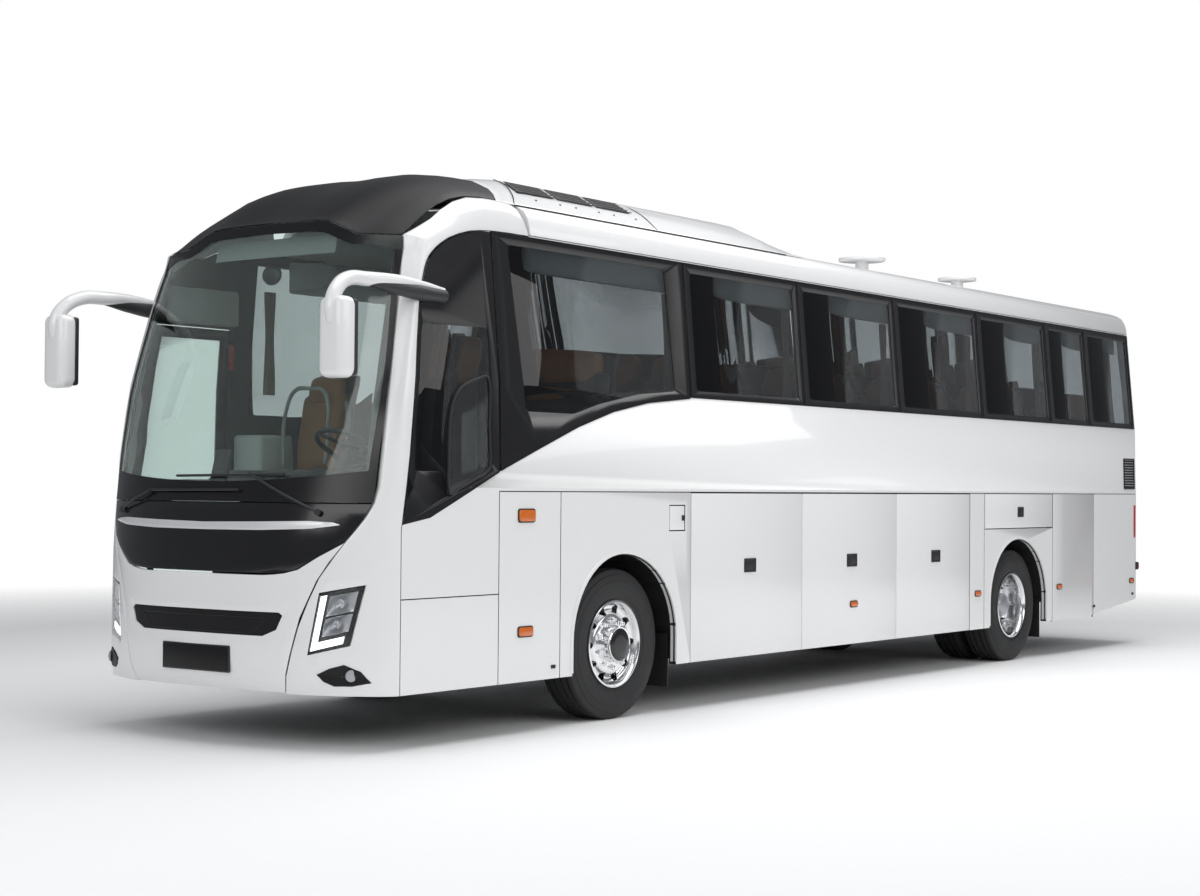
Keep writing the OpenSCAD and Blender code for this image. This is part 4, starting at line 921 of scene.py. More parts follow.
def tyre_profile():
    """Closed outline of the tyre as (along the axle, radius)."""
    w, top = tyre_half_w, tyre_big
    half = [(w - 0.0245, bead_r - 0.013), (w - 0.022, bead_r + 0.004), (w - 0.010, bead_r + 0.028),
            (w - 0.007, bead_r + 0.034), (w - 0.0035, bead_r + 0.036), (w - 0.001, bead_r + 0.075),
            (w, bead_r + 0.11), (w - 0.0015, bead_r + 0.13), (w - 0.0045, bead_r + 0.133),
            (w - 0.007, bead_r + 0.155), (w - 0.011, top - 0.052), (w - 0.0125, top - 0.046),
            (w - 0.017, top - 0.044), (w - 0.021, top - 0.018), (w - 0.027, top - 0.008),
            (w - 0.038, top - 0.002)]
    grooves = []
    for g in (0.082, 0.030):
        grooves += [(g + 0.006, top), (g + 0.004, top - 0.013), (g - 0.004, top - 0.013), (g - 0.006, top)]
    half += grooves
    return [(a, r) for a, r in half] + [(-a, r) for a, r in reversed(half)]


def place_tyre(name, x, y, body):
    tyre = spun(name, tyre_profile(), (axle_x + x, y, hub_z), steps=72)
    settle(tyre, tyre_rubber, body)
    return tyre


twin_y = [rear_tyre_box[1].y - tyre_half_w, rear_tyre_box[0].y + tyre_half_w]
for side_name, sign in (("left", 1), ("right", -1)):
    body = "wheel_front_" + side_name
    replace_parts(place_tyre("tyre_front_%s_ribbed" % side_name, 0, sign * wheel_mid, body),
                "tyre_front_" + side_name)
    body = "wheel_rear_" + side_name
    pair = [place_tyre("tyre_rear_%s_%d" % (side_name, k + 1), rear_axle, sign * y, body)
            for k, y in enumerate(twin_y)]
    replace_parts(pair[0], "tyre_rear_" + side_name)
print("tyres made")

# %% [markdown]
# Nut, washer and stud are made once, from cylinders, joined, and copied ten times round the axle.

# %% Hub caps, nuts and washers
def turned(name, profile, centre, sign, mat, body, steps=64):
    """A lathe piece on an axle: the profile's first number points outwards."""
    obj = spun(name, [(sign * a, r) for a, r in profile], centre, steps=steps)
    return settle(obj, mat, body)


def nut_ring(name, centre, sign, out, body, count=10, ring=0.1675):
    """Hexagon nuts with washers, one modelled and the rest copied round the axle."""
    bpy.ops.object.select_all(action="DESELECT")
    bpy.ops.mesh.primitive_cylinder_add(vertices=6, radius=0.0185, depth=0.030, location=(0, 0, ring),
                                        rotation=(math.pi / 2, 0, 0))
    nut = bpy.context.object
    bpy.ops.object.transform_apply(location=True, rotation=True, scale=True)
    add_modifier(nut, "BEVEL", width=0.0025, segments=2, limit_method="ANGLE", angle_limit=math.radians(50))
    bpy.ops.object.select_all(action="DESELECT")
    bpy.ops.mesh.primitive_cylinder_add(vertices=24, radius=0.024, depth=0.008,
                                        location=(0, -sign * 0.014, ring), rotation=(math.pi / 2, 0, 0))
    washer = bpy.context.object
    bpy.ops.object.transform_apply(location=True, rotation=True, scale=True)
    add_modifier(washer, "BEVEL", width=0.0015, segments=2, limit_method="ANGLE",
                 angle_limit=math.radians(50))
    bpy.ops.object.select_all(action="DESELECT")
    bpy.ops.mesh.primitive_cylinder_add(vertices=20, radius=0.009, depth=0.012,
                                        location=(0, sign * 0.019, ring), rotation=(math.pi / 2, 0, 0))
    bpy.ops.object.transform_apply(location=True, rotation=True, scale=True)
    stud = bpy.context.object
    first = join(name, [nut, washer, stud])
    parts = [first]
    for i in range(1, count):
        copy = first.copy()
        copy.data = first.data.copy()
        scene.collection.objects.link(copy)
        copy.rotation_euler = (0, math.tau * i / count, 0)
        parts.append(copy)
    ring_of = join(name, parts)
    only(ring_of)
    ring_of.location = Vector(centre) + Vector((0, sign * out, 0))
    smooth(ring_of)
    return settle(ring_of, chrome, body)


# %% [markdown]
# An alloy wheel is a spun outline too. The ten hand holes are bored with one cutter made of ten cylinders,
# and the bevel after it gives the holes their bright edge. Only the face differs between front and rear.

# %% Alloy discs
def barrel(front_face):
    """Outline of a rim: the barrel's rims and bed, closed by the face that looks outwards."""
    return [(0.143, 0.291), (0.141, 0.3035), (0.127, 0.3035), (0.125, 0.288), (-0.125, 0.288),
            (-0.127, 0.3035), (-0.141, 0.3035), (-0.143, 0.291), (-0.125, 0.272)] + front_face


front_face = [(0.04, 0.266), (0.052, 0.262), (0.058, 0.25), (0.058, 0.22), (0.075, 0.20), (0.09, 0.17),
              (0.09, 0.03), (0.118, 0.03), (0.116, 0.126), (0.112, 0.130), (0.112, 0.190), (0.109, 0.204),
              (0.101, 0.213), (0.087, 0.219), (0.079, 0.228), (0.077, 0.24), (0.078, 0.254),
              (0.085, 0.266), (0.105, 0.275), (0.135, 0.283)]
rear_face = [(-0.108, 0.266), (-0.112, 0.25), (-0.112, 0.21), (-0.10, 0.18), (-0.10, 0.03),
             (-0.048, 0.03), (-0.05, 0.126), (-0.053, 0.190), (-0.058, 0.204), (-0.068, 0.213),
             (-0.082, 0.219), (-0.09, 0.228), (-0.092, 0.24), (-0.09, 0.254), (-0.08, 0.264),
             (-0.03, 0.268), (0.10, 0.272), (0.135, 0.283)]
inner_face = [(0.125, 0.272)]


def alloy_disc(name, face, centre, sign, body, holes=True):
    """A rim spun from its outline, with ten hand holes bored through the disc."""
    rim = spun(name, [(sign * a, r) for a, r in barrel(face)], centre, steps=96)
    if holes:
        drills = []
        for i in range(10):
            a = math.tau * (i + 0.5) / 10
            bpy.ops.object.select_all(action="DESELECT")
            bpy.ops.mesh.primitive_cylinder_add(vertices=32, radius=0.0325, depth=0.5,
                                                rotation=(math.pi / 2, 0, 0),
                                                location=Vector(centre) + Vector((0.240 * math.sin(a), 0,
                0.240 * math.cos(a))))
            drills.append(bpy.context.object)
        cutter = join("drills", drills)
        only(cutter)
        bpy.ops.object.transform_apply(location=True, rotation=True, scale=True)
        cut(rim, cutter)
        add_modifier(rim, "BEVEL", width=0.002, segments=2, limit_method="ANGLE",
                     angle_limit=math.radians(60))
    smooth(rim, 40)
    return settle(rim, alloy, body)


for side_name, sign in (("left", 1), ("right", -1)):
    centre = (axle_x, sign * wheel_mid, hub_z)
    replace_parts(alloy_disc("alloy_front_" + side_name, front_face, centre, sign,
                           "wheel_front_" + side_name), "rim_front_" + side_name)
    centre = (axle_x + rear_axle, sign * twin_y[0], hub_z)
    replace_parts(alloy_disc("alloy_rear_" + side_name, rear_face, centre, sign, "wheel_rear_" + side_name),
                "rim_rear_" + side_name)
    centre = (axle_x + rear_axle, sign * twin_y[1], hub_z)
    alloy_disc("alloy_inner_" + side_name, inner_face, centre, sign, "wheel_rear_" + side_name, holes=False)
print("alloy discs made")

# %% [markdown]
# The rear wheel has its disc far inside, so a silver bell stands on it and carries the cap.

# %% Caps and nuts on each wheel
for side_name, sign in (("left", 1), ("right", -1)):
    for axle, x, disc in (("front", 0.0, 0.105), ("rear", rear_axle, -0.062)):
        body = "wheel_%s_%s" % (axle, side_name)
        centre = (axle_x + x, sign * wheel_mid, hub_z)
        tag = "%s_%s" % (axle, side_name)
        nut_ring("wheel_nuts_" + tag, centre, sign, disc + 0.018, body)
        cap = [(disc + 0.004, 0.0), (disc + 0.004, 0.128), (disc + 0.060, 0.126), (disc + 0.076, 0.123),
               (disc + 0.080, 0.118), (disc + 0.078, 0.110), (disc + 0.0755, 0.108), (disc + 0.0755, 0.0)]
        face = [(disc + 0.076, 0.0), (disc + 0.076, 0.1085), (disc + 0.080, 0.107), (disc + 0.0835, 0.10),
                (disc + 0.085, 0.06), (disc + 0.086, 0.0)]
        turned("hub_ring_" + tag, cap, centre, sign, chrome, body)
        turned("hub_cap_" + tag, face, centre, sign, black_gloss, body)
        if axle == "rear":
            bell = [(disc - 0.02, 0.10), (disc - 0.02, 0.112), (disc + 0.11, 0.108), (disc + 0.13, 0.094),
                    (disc + 0.138, 0.06), (disc + 0.14, 0.0), (disc + 0.13, 0.0), (disc + 0.12, 0.09)]
            turned("hub_bell_" + tag, bell, centre, sign, silver_paint, body)
print("wheels dressed")

# %% [markdown]
# ## Along the sides
# Handles, latches, lamps, the vent and the lips of the wheel arches. Each handle is a rounded frame with a
# paddle that lies a little lower, and rides on its own door.

# %% Handles and latches
def handle(name, x, z, wide, tall, body, side=1, mat=None):
    """A rounded frame with a sunken paddle."""
    y0, y1 = half_w - 0.002, half_w + 0.009
    frame_box = soft_box(name, (axle_x + x - wide / 2, y0, z - tall / 2),
                         (axle_x + x + wide / 2, y1, z + tall / 2), mat or black_trim, body,
                         round_off=0.0042, segments=3)
    only(frame_box)
    bpy.ops.object.mode_set(mode="EDIT")
    bm = bmesh.from_edit_mesh(frame_box.data)
    bm.faces.ensure_lookup_table()
    for face in bm.faces:
        face.select_set(face.normal.y > 0.95 and face.calc_area() > wide * tall * 0.4)
    bmesh.update_edit_mesh(frame_box.data)
    bpy.ops.mesh.inset(thickness=0.012)
    bpy.ops.transform.translate(value=(0, -0.006, 0))
    bpy.ops.mesh.inset(thickness=0.004)
    bpy.ops.mesh.inset(thickness=0.003)
    bpy.ops.transform.translate(value=(0, 0.003, 0))
    bpy.ops.object.mode_set(mode="OBJECT")
    if side < 0:
        only(frame_box)
        frame_box.scale = (1, -1, 1)
        bpy.ops.object.transform_apply(location=True, rotation=True, scale=True)
        edit(frame_box, lambda: bpy.ops.mesh.normals_make_consistent(inside=False))
    return frame_box


for k, x in enumerate((-1.642, -3.199, -4.683)):
    handle("bay_handle_left_%d" % (k + 1), x, 1.027, 0.16, 0.105, "bay_door_left_%d" % (k + 1))
for k, x in enumerate((-1.642, -3.199)):
    handle("bay_handle_right_%d" % (k + 1), x, 1.027, 0.16, 0.105, "bay_door_right_%d" % (k + 1), -1)
handle("locker_handle", -6.415, 1.404, 0.12, 0.095, "locker_flap")
soft_box("fuel_latch", (axle_x - 0.752, half_w - 0.001, 1.372), (axle_x - 0.722, half_w + 0.005, 1.412),
         black_trim, "fuel_flap", round_off=0.0025)
for side_name, sign in (("left", 1), ("right", -1)):
    for k, (x, z) in enumerate(((-8.16, 0.44), (-9.17, 0.53), (0.78, 0.42))):
        y = sign * (half_w + 0.001)
        soft_box("skirt_latch_%s_%d" % (side_name, k + 1), (axle_x + x - 0.022, y - 0.006, z - 0.012),
                 (axle_x + x + 0.022, y + 0.006, z + 0.012), black_trim, round_off=0.003)
print("handles made")

# %% [markdown]
# Round each wheel arch the skin turns in with a soft lip. It is a strip of four rows along the arch, with a
# dark seal below it.

# %% Arch lips
def arch_path(x0, front_reach, rear_reach, steps=28, grow=0.0):
    path = []
    for i in range(steps + 1):
        a = math.pi * i / steps
        reach = (front_reach if a < math.pi / 2 else rear_reach) + grow
        path.append((x0 + reach * math.cos(a), 0.56 + (0.594 + grow) * math.sin(a)))
    path = [(path[0][0], 0.36)] + path + [(path[-1][0], 0.36)]
    return path


for side_name, sign in (("left", 1), ("right", -1)):
    for axle, x, reach in (("front", 0.0, (0.57, 0.66)), ("rear", rear_axle, (0.60, 0.64))):
        path = arch_path(x, *reach, grow=-0.004)
        wide = arch_path(x, *reach, grow=0.022)
        rows = [[(axle_x + a, sign * (half_w - 0.045), b) for a, b in path],
                [(axle_x + a, sign * (half_w + 0.006), b) for a, b in path],
                [(axle_x + a, sign * (half_w + 0.008), b) for a, b in arch_path(x, *reach, grow=0.006)],
                [(axle_x + a, sign * (half_w + 0.001), b) for a, b in wide]]
        sheet_piece("arch_lip_%s_%s" % (axle, side_name), rows, 0.002, white)
        tube("arch_seal_%s_%s" % (axle, side_name), [(axle_x + a, sign * (half_w - 0.012), b) for a, b in
                                                    arch_path(x, *reach, grow=-0.008)], 0.006, seal)
print("arches lipped")

# %% [markdown]
# The engine breathes through a grille in the window band: slats of three-cornered section, pushed along, in
# a frame.

# %% Vent grille, rear bracket lamps
vent_x, vent_z = (-9.21, -8.94), (1.635, 1.945)
for side_name, sign in (("left", 1), ("right", -1)):
    def vent_y(z, off):
        return sign * (side_y(z) + off)
    parts = []
    n = 11
    for i in range(n):
        z = vent_z[0] + 0.02 + (vent_z[1] - vent_z[0] - 0.04) * i / (n - 1)
        slat = from_outline("slat", [(axle_x + vent_x[0] + 0.012, vent_y(z, 0.001), z - 0.008),
                                     (axle_x + vent_x[0] + 0.012, vent_y(z, 0.009), z - 0.012),
                                     (axle_x + vent_x[0] + 0.012, vent_y(z, 0.002), z + 0.008)],
                            (vent_x[1] - vent_x[0] - 0.024, 0, 0))
        parts.append(slat)
    settle(join("vent_slats_" + side_name, parts), black_trim)
    tube("vent_frame_" + side_name, [(axle_x + x, vent_y(z, 0.003), z) for x, z in
                                     [(vent_x[0], vent_z[0]), (vent_x[1], vent_z[0])]], 0.008, black_gloss)
    tube("vent_frame_top_" + side_name,
         [(axle_x + x, vent_y(z, 0.003), z) for x, z in [(vent_x[0], vent_z[1]), (vent_x[1], vent_z[1])]],
         0.008, black_gloss)
    for k, x in enumerate(vent_x):
        tube("vent_post_%s_%d" % (side_name, k + 1), [(axle_x + x, vent_y(z, 0.003), z) for z in vent_z],
             0.008, black_gloss)
    soft_box("rear_bracket_" + side_name, (axle_x + tail_x + 0.19, sign * 1.272 - 0.014, 0.78),
             (axle_x + tail_x + 0.25, sign * 1.272 + 0.014, 0.86), black_trim, round_off=0.004)
    soft_box("rear_bracket_lamp_" + side_name, (axle_x + tail_x + 0.182, sign * 1.277 - 0.012, 0.79),
             (axle_x + tail_x + 0.20, sign * 1.277 + 0.012, 0.85), red_lens, round_off=0.004)
print("vents made")

# %% [markdown]
# The driver's window has a small opening pane of its own, with a thick black frame. It stands a little
# proud of the fixed glass, so it catches a thin highlight.

# %% Driver's window frames
def side_line(name, points, radius, mat, sign=1, off=0.002, cyclic=True):
    """A bar that lies on the side of the body."""
    return tube(name, [(axle_x + x, sign * (side_y(z) + off), z) for x, z in points], radius, mat,
                cyclic=cyclic, ends=not cyclic)


quarter = [(1.468, 2.305), (1.56, 2.29), (1.654, 2.262), (1.735, 2.22), (1.788, 2.165), (1.825, 2.07),
           (1.842, 1.958), (1.852, 1.75), (1.852, 1.60), (1.835, 1.565), (1.74, 1.60), (1.60, 1.655),
           (1.47, 1.712), (1.452, 1.74), (1.45, 2.0), (1.45, 2.28)]
side_line("quarter_frame", quarter, 0.0095, black_trim)
print("driver's window framed")

# %% [markdown]
# ## Roof
# The pod has three mesh vents on each slope, cut lines where its panels meet, and small fixing screws.

# %% Pod vents, seams and screws
pod_line = [(0, 3.80), (0.3, 3.788), (0.49, 3.757), (0.70, 3.702), (0.89, 3.605), (1.0, 3.525),
            (1.052, 3.486)]


def pod_point(x, y, off=0.0):
    return (axle_x + x, y, lookup(abs(y), pod_line) + off)


vents = []
for side_name, sign in (("left", 1), ("right", -1)):
    for k in range(3):
        back_by = 0.45 * k
        rows = []
        for i in range(5):
            b = i / 4
            y = 0.705 + (0.89 - 0.705) * b
            x0 = 0.646 + (0.725 - 0.646) * b - back_by
            x1 = 0.257 + (0.319 - 0.257) * b - back_by
            rows.append([pod_point(x0 + (x1 - x0) * j / 6, sign * y, 0.004) for j in range(7)])
        vents.append(sheet_piece("pod_vent_%s_%d" % (side_name, k + 1), rows, 0.004, black_trim))
        for m in range(5):
            y = 0.72 + 0.04 * m
            tube("pod_vent_bar_%s_%d_%d" % (side_name, k + 1, m + 1),
                 [pod_point(0.64 - back_by, sign * y, 0.007), pod_point(0.28 - back_by, sign * y, 0.007)],
                 0.003, plastic_dark, sides=2)
        for x in (0.60, 0.33):
            spot = pod_point(x - back_by, sign * 0.955, 0.002)
            bpy.ops.object.select_all(action="DESELECT")
            bpy.ops.mesh.primitive_uv_sphere_add(radius=0.009, segments=16, ring_count=8, location=spot)
            screw = bpy.context.object
            screw.name = "pod_screw_%s_%d_%d" % (side_name, k + 1, int(x * 100))
            screw.scale = (1, 1, 0.5)
            settle(smooth(screw), plastic_dark)
    line = [(0.95, 1.048), (0.83, 0.933), (0.70, 0.75), (0.625, 0.60)]
    tube("pod_seam_front_" + side_name, [pod_point(x, sign * y, 0.0) for x, y in line], 0.0035, seal,
         sides=2)
    tube("pod_seam_rear_" + side_name,
         [pod_point(x, sign * y, 0.0)
          for x, y in ((-0.79, 0.60), (-0.78, 0.76), (-0.75, 0.90), (-0.71, 1.048))], 0.0035, seal,
         sides=2)
    gap = [(0.95 - 3.45 * i / 12, 1.054) for i in range(13)]
    tube("pod_gap_" + side_name, [(axle_x + x, sign * y, 3.480) for x, y in gap], 0.004, seal, sides=2)
print("roof dressed:", len(vents))

# %% [markdown]
# ## Black borders of the panes
# Coach glass is bonded: a black band is printed on it all round and hides the glue. Each band is a thin
# plate in the pane's outline with the clear window cut out. It is bent to the lean of the side by moving
# its points.

# %% Borders of the panes
# Lengths of the panes against each other, from the front
pane_share = [2197, 1615, 1593, 1598, 1501, 950, 1146]
pane_x = [1.340 - (1.340 - tail_seam) * sum(pane_share[:i]) / sum(pane_share) for i in range(8)]
glass_low = 2.265
sweep = [(1.349, 1.702), (0.937, 1.857), (0.504, 2.014), (0.105, 2.129), (-0.313, 2.207), (-0.83, 2.256)]
cab_rear = [(1.349, 1.702), (1.644, 1.573), (1.863, 1.48), (2.022, 1.413)]


def rounded(corners, radius=0.04, steps=4):
    """The same outline with its corners rounded."""
    out = []
    n = len(corners)
    for i, p in enumerate(corners):
        p = Vector(p)
        a, b = Vector(corners[i - 1]), Vector(corners[(i + 1) % n])
        r = min(radius, (a - p).length * 0.45, (b - p).length * 0.45)
        p0, p1 = p + (a - p).normalized() * r, p + (b - p).normalized() * r
        out += [tuple(p0.lerp(p, t / steps).lerp(p.lerp(p1, t / steps), t / steps))
                for t in range(steps + 1)]
    return out


def border(name, outline, window, sign):
    """A pane's outline with its clear window cut out, laid on the leaning side."""
    plate = from_outline(name, [(axle_x + x, 0, z) for x, z in outline], (0, 0.0012, 0))
    hole = from_outline("hole", [(axle_x + x, -0.5, z) for x, z in rounded(window)], (0, 1, 0))
    cut(plate, hole)
    edit(plate, lambda: bpy.ops.mesh.bisect(plane_co=(0, 0, 2.27), plane_no=(0, 0, 1)),
         lambda: bpy.ops.mesh.select_all(action="SELECT"))
    for vert in plate.data.vertices:
        vert.co.y = sign * (side_y(vert.co.z) + vert.co.y + 0.0003)
    edit(plate, lambda: bpy.ops.mesh.normals_make_consistent(inside=False))
    plate.data.update()
    return settle(plate, frit)


panes = []
# Side lamps: distance ahead of the axle, height, width, tallness
markers = [(1.074, 1.421, 0.17, 0.08), (1.079, 0.667, 0.15, 0.062), (-3.235, 0.667, 0.115, 0.045),
           (rear_axle + 0.85, 0.667, 0.115, 0.045), (rear_axle - 0.942, 0.667, 0.115, 0.045),
           (tail_seam + 0.11, 0.667, 0.115, 0.045)]
lenses = []
for side_name, sign in (("left", 1), ("right", -1)):
    for k, (x, z, wide, tall) in enumerate(markers):
        for label, grow, out, mat in (("base", 0.006, 0.006, black_trim), ("lens", -0.002, 0.013, amber)):
            a, b = wide / 2 + grow, tall / 2 + grow
            ring = rounded([(x - a, z - b), (x + a, z - b), (x + a, z + b), (x - a, z + b)], 0.022)
            piece = from_outline("marker_%s_%s_%d" % (label, side_name, k + 1),
                                 [(axle_x + p, sign * (half_w + 0.0005), q) for p, q in ring],
                                 (0, sign * out, 0), 0.003)
            settle(piece, mat)
            lenses.append(piece)
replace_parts(lenses[1], "side_lamps")
first = [(1.338, 1.708)] + [p
                            for p in sweep[1:]] + [(pane_x[1] + 0.008, 2.262), (pane_x[1] + 0.008, 3.256),
                                                   (1.338, 3.256)]
first_clear = [(1.182, 3.184), (1.082, 2.100), (0.561, 2.100), (0.28, 2.176), (-0.19, 2.264),
               (-0.649, 2.303), (-0.6, 3.187)]
panes.append((first, first_clear))
for i in range(1, 7):
    x0, x1 = pane_x[i] - 0.001, pane_x[i + 1] + 0.007
    panes.append(([(x0, glass_low), (x1, glass_low), (x1, 3.256), (x0, 3.256)],
                  [(x0 - 0.075, 2.318), (x1 + 0.085, 2.318), (x1 + 0.085, 3.185), (x0 - 0.075, 3.185)]))
for side_name, sign in (("left", 1), ("right", -1)):
    for i, (outline, window) in enumerate(panes):
        if sign < 0 and i in (3, 4):
            continue
        border("pane_border_%s_%d" % (side_name, i + 1), outline, window, sign)
cab_top = [(1.349, 3.248), (1.45, 3.24), (1.56, 3.222), (1.66, 3.195), (1.76, 3.158), (1.835, 3.118),
           (1.88, 3.088), (1.92, 3.058), (1.955, 3.02), (1.98, 2.985), (2.0, 2.95), (2.068, 2.745),
           (2.125, 2.41), (2.165, 2.08), (2.198, 1.80), (2.24, 1.60), (2.272, 1.38)]
cab_outline = cab_rear[:-1] + [(2.022, 1.413), (2.262, 1.376)] + list(reversed(cab_top))[1:]
cab_window = [(1.432, 2.622), (1.432, 1.73), (1.60, 1.66), (1.862, 1.545), (1.90, 1.70), (2.165, 1.70),
              (2.148, 2.0), (2.10, 2.38), (2.062, 2.612)]
border("driver_glass_border", cab_outline, cab_window, 1)
print("panes bordered")

# %% [markdown]
# ## Inside
# Seen through tinted glass, the saloon is mostly shapes and values: rows of dark seats with tan headrests,
# pleated curtains on the posts, grey racks and lining. Each seat has a moulded shell, a cushion and a back
# with rounded, slightly swollen faces, and a headrest of its own.

# %% One seat, modelled once
def cushion(name, low, high, mat, round_off, swell=0.012):
    """A padded block: a cube subdivided, its big faces swollen, its edges rounded."""
    pad = soft_box(name, low, high, mat, round_off=round_off, segments=3)
    add_modifier(pad, "SUBSURF", levels=1, render_levels=1)
    middle = (Vector(low) + Vector(high)) / 2
    half = (Vector(high) - Vector(low)) / 2
    for vert in pad.data.vertices:
        rel = Vector(((vert.co[i] - middle[i]) / half[i] for i in range(3)))
        lift = swell * max(0, 1 - rel.y ** 4) * max(0, 1 - min(abs(rel.x), abs(rel.z)) ** 2)
        big = max(range(3), key=lambda i: abs(rel[i]))
        if big != 1:
            vert.co[big] += math.copysign(lift, rel[big])
    return pad


def make_seat(name, x, y, z, wide, body="coach_body"):
    """A coach seat: x of its leg, y of its middle, z of its floor."""
    cx = axle_x + x
    base = cushion(name + "_cushion", (cx - 0.07, y - wide / 2 + 0.01, z + 0.345),
                   (cx + 0.42, y + wide / 2 - 0.01, z + 0.46), seat_cloth, 0.04)
    back_pad = cushion(name + "_back", (cx - 0.085, y - wide / 2 + 0.015, z + 0.46),
                       (cx + 0.035, y + wide / 2 - 0.015, z + 1.0), seat_cloth, 0.045, 0.016)
    head = cushion(name + "_headrest", (cx - 0.07, y - wide / 2 + 0.07, z + 0.93),
                   (cx + 0.045, y + wide / 2 - 0.07, z + 1.13), tan_leather, 0.045, 0.012)
    shell = soft_box(name + "_shell", (cx - 0.12, y - wide / 2, z + 0.44),
                     (cx - 0.06, y + wide / 2, z + 1.14), plastic_dark, round_off=0.028, segments=3)
    leg = soft_box(name + "_leg", (cx + 0.08, y - wide / 2 + 0.03, z),
                   (cx + 0.32, y + wide / 2 - 0.03, z + 0.36), chassis, round_off=0.02)
    for part in (back_pad, head, shell):
        for vert in part.data.vertices:
            vert.co.x -= (vert.co.z - z - 0.46) * 0.17
        part.data.update()
    return base, back_pad, head, shell, leg


inner_y = half_w - 0.072
seat_w = 0.44
mid_door = (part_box("mid_door")[0].x - axle_x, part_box("mid_door")[1].x - axle_x)
rows_x = [0.03 - 0.83 * i for i in range(11)]
spots = []
for x in rows_x:
    if x - 0.21 < tail_seam + 0.2:
        continue
    for sign in (1, -1):
        if sign < 0 and not (x + 0.43 < mid_door[0] - 0.03 or x - 0.21 > mid_door[1] + 0.03):
            continue
        for k in (0, 1):
            spots.append((x, sign * (inner_y - 0.13 - seat_w / 2 - k * (seat_w + 0.015))))
template = make_seat("seat_1", *spots[0], 1.40, seat_w)
for number, (x, y) in enumerate(spots[1:], 2):
    parts = []
    for part, label in zip(template, ("cushion", "back", "headrest", "shell", "leg")):
        copy = part.copy()
        copy.data = part.data.copy()
        copy.name = "seat_%d_%s" % (number, label)
        scene.collection.objects.link(copy)
        for vert in copy.data.vertices:
            vert.co.x += x - spots[0][0]
            vert.co.y += y - spots[0][1]
        copy.data.update()
        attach(copy, "coach_body")
        parts.append(copy)
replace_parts(template[3], "passenger_seats")
driver = make_seat("driver_seat", 1.54, 0.56, 1.25, 0.50)
guide = make_seat("guide_seat", 1.05, -0.664, 1.25, seat_w)
guide[1].data.materials.clear()
guide[1].data.materials.append(tan_leather)
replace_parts(driver[3], "crew_seats")

# %% [markdown]
# A curtain is a strip of cloth gathered in pleats: a sine wave across, drawn in at the waist. Its flat
# width is the length of the wave at the top.

# %% Curtains
def curtain(name, x, sign, z0=2.25, z1=2.99, wide=0.09, pleats=5, lie=0.14, mat=None):
    """A gathered curtain: a wavy strip, straight at the top and drawn in a little lower down."""
    rows = []
    n = pleats * 8
    for r in range(13):
        u = r / 12
        z = z1 + (z0 - z1) * u
        waist_in = 1 - 0.35 * math.sin(math.pi * min(1, u * 1.1)) ** 2
        row = []
        for c in range(n + 1):
            s = c / n
            phase = math.tau * pleats * s + 0.5 * math.sin(3 * u + x)
            row.append((axle_x + x + (s - 0.5) * wide * waist_in,
                        sign * (inner_y - lie) + 0.017 * math.sin(phase), z))
        rows.append(row)
    piece = sheet_piece(name, rows, 0.0012, mat or curtain_cloth)
    return piece


made = []
for side_name, sign in (("left", 1), ("right", -1)):
    for k, x in enumerate([1.12] + [pane_x[i] + (0.13 if i == 1 else 0.09) for i in range(1, 6)]):
        made.append(curtain("curtain_%s_%d" % (side_name, k + 1), x, sign))
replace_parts(made[0], "curtains")
print("curtains:", len(made))

# %% [markdown]
# The driver's place: a deep dashboard with an instrument hood, the wheel on its leaning column, and the
# grab frame and cabinet beside the stairs. The lining closes the view upwards.

# %% Driver's place, lining and floor
refined("dashboard", plastic_dark, round_off=0.02)
refined("steering_wheel", plastic_dark, round_off=0.003)
refined("racks", plastic_grey, round_off=0.02)
soft_box("side_cabinet", (axle_x + 1.02, -1.19, 1.26), (axle_x + 1.35, -0.905, 1.96), plastic_pale,
         round_off=0.03, segments=4)
tube("grab_frame",
     [(axle_x + 1.17, -0.86, 1.75), (axle_x + 1.16, -0.84, 2.16), (axle_x + 1.15, -0.78, 2.27),
      (axle_x + 1.15, -0.6, 2.29), (axle_x + 1.15, -0.5, 2.27), (axle_x + 1.16, -0.45, 2.16),
      (axle_x + 1.17, -0.44, 1.75)], 0.014, plastic_grey)
soft_box("seat_screen", (axle_x + 0.93, -0.87, 1.75), (axle_x + 0.96, -0.45, 2.2), plastic_grey,
         round_off=0.012)
soft_box("hammer", (axle_x + 1.36, -1.185, 2.42), (axle_x + 1.40, -1.165, 2.60), red_lens, round_off=0.006)
soft_box("door_header", (axle_x + 1.35, -1.19, 2.72), (axle_x + 2.0, -1.12, 2.98), plastic_pale,
         round_off=0.03)
ceiling_rows = []
for x in (tail_seam + 0.1, -4.0, 0.3, 0.9, 1.25, 1.55, 1.8):
    drop = 0.0 if x < 0.95 else (x - 0.95) * 0.13
    ceiling_rows.append([(axle_x + x, y, 3.505 - drop - 0.05 * (abs(y) / 1.05) ** 3) for y in
                         [-1.05 + 2.1 * i / 12 for i in range(13)]])
sheet_piece("ceiling", ceiling_rows, 0.006, plastic_pale)
sheet_piece("sun_visor", [[front_point(v, z, 0.10) for v in [-0.5 + i / 10 for i in range(11)]]
                          for z in (3.08, 3.14, 3.20)], 0.006, plastic_grey)
bpy.ops.object.select_all(action="DESELECT")
bpy.ops.mesh.primitive_uv_sphere_add(radius=0.085, segments=32, ring_count=16,
                                     location=front_point(-0.1, 2.98, 0.22))
inside_mirror = bpy.context.object
inside_mirror.name = "saloon_mirror"
inside_mirror.scale = (0.35, 1, 0.8)
settle(smooth(inside_mirror), plastic_dark)
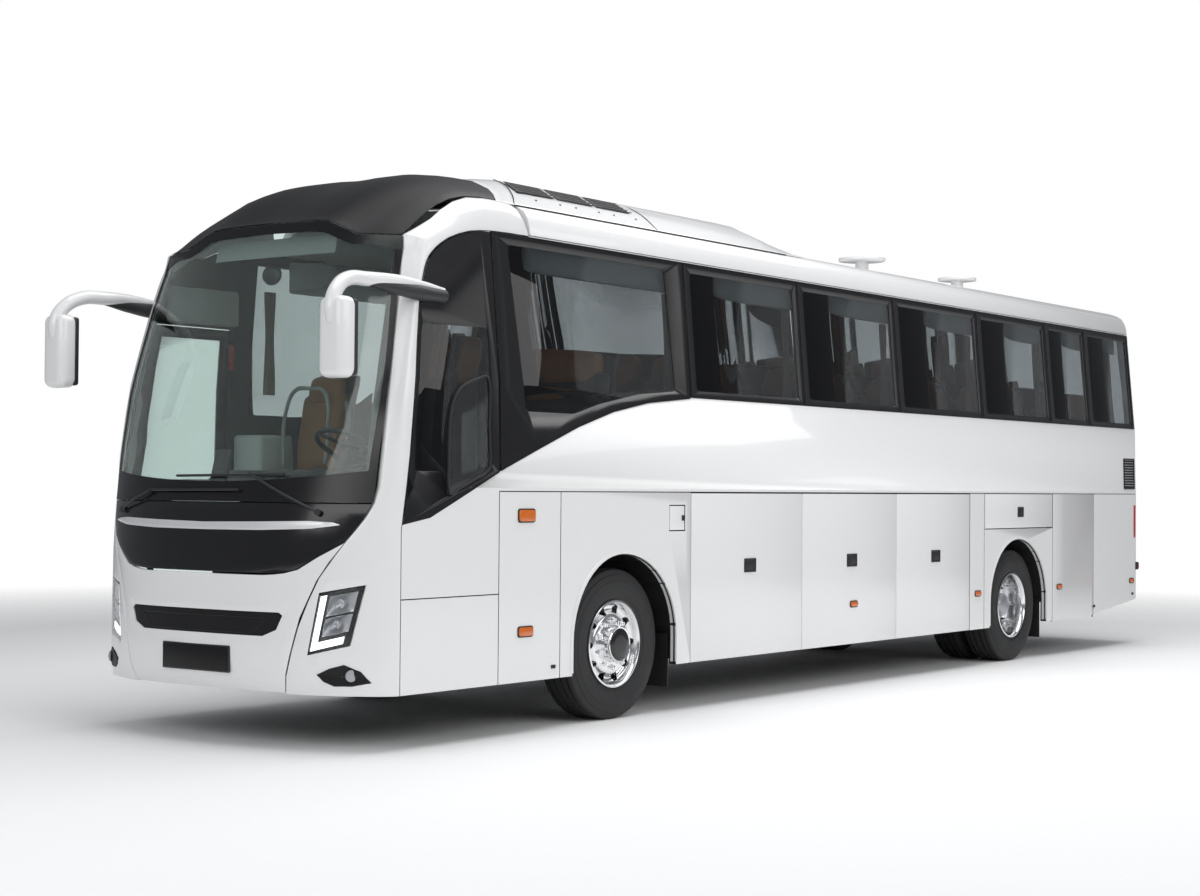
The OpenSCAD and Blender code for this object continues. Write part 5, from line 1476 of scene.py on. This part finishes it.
soft_box("aisle_carpet", (axle_x + tail_seam + 0.1, -0.17, 1.4005), (axle_x + 0.98, 0.17, 1.404), carpet,
         round_off=0.001)
soft_box("cab_carpet", (axle_x + 1.01, -0.43, 1.2505), (axle_x + 2.1, 1.05, 1.254), carpet, round_off=0.001)
treads = ((-1.14, -0.845, 0.4705), (-0.835, -0.645, 0.7305), (-0.635, -0.445, 0.9905))
for k, (y0, y1, z) in enumerate(treads):
    soft_box("stair_carpet_%d" % (k + 1), (axle_x + 1.41, y0, z), (axle_x + 2.18, y1, z + 0.004), carpet,
             round_off=0.001)
for side_name, sign in (("left", 1), ("right", -1)):
    rows = [[front_point(sign * v, z, 0.045) for v in (0.885, 0.93, 0.965)] for z in
            [1.55 + 1.5 * i / 10 for i in range(11)]]
    sheet_piece("pillar_trim_" + side_name, rows, 0.006, plastic_dark)
print("inside furnished")

# %% [markdown]
# The tail has round lamps, a blank plate and a louvred engine lid. Its louvres ride with the lid.

# %% Rear of the coach
rear_x = axle_x + tail_x
soft_box("rear_plate", (rear_x - 0.008, -0.27, 1.545), (rear_x + 0.004, 0.27, 1.665), black_satin,
         round_off=0.003)
for side_name, sign in (("left", 1), ("right", -1)):
    for k, (z, mat) in enumerate(((1.17, red_lens), (1.29, amber), (1.41, red_lens))):
        bpy.ops.object.select_all(action="DESELECT")
        bpy.ops.mesh.primitive_cylinder_add(radius=0.052, depth=0.03, vertices=48,
                                            rotation=(0, math.pi / 2, 0),
                                            location=(rear_x + 0.02, sign * 1.02, z))
        disc = bpy.context.object
        disc.name = "tail_lamp_%s_%d" % (side_name, k + 1)
        bpy.ops.object.transform_apply(location=True, rotation=True, scale=True)
        add_modifier(disc, "BEVEL", width=0.008, segments=3, limit_method="ANGLE",
                     angle_limit=math.radians(60))
        settle(smooth(disc), mat)
refined("rear_lamps", red_lens, round_off=0.002)
for k in range(7):
    z = 0.80 + 0.075 * k
    soft_box("lid_louvre_%d" % (k + 1), (rear_x - 0.006, -0.62, z), (rear_x + 0.004, 0.62, z + 0.03),
             black_trim, "engine_lid", round_off=0.003)
print("rear dressed")
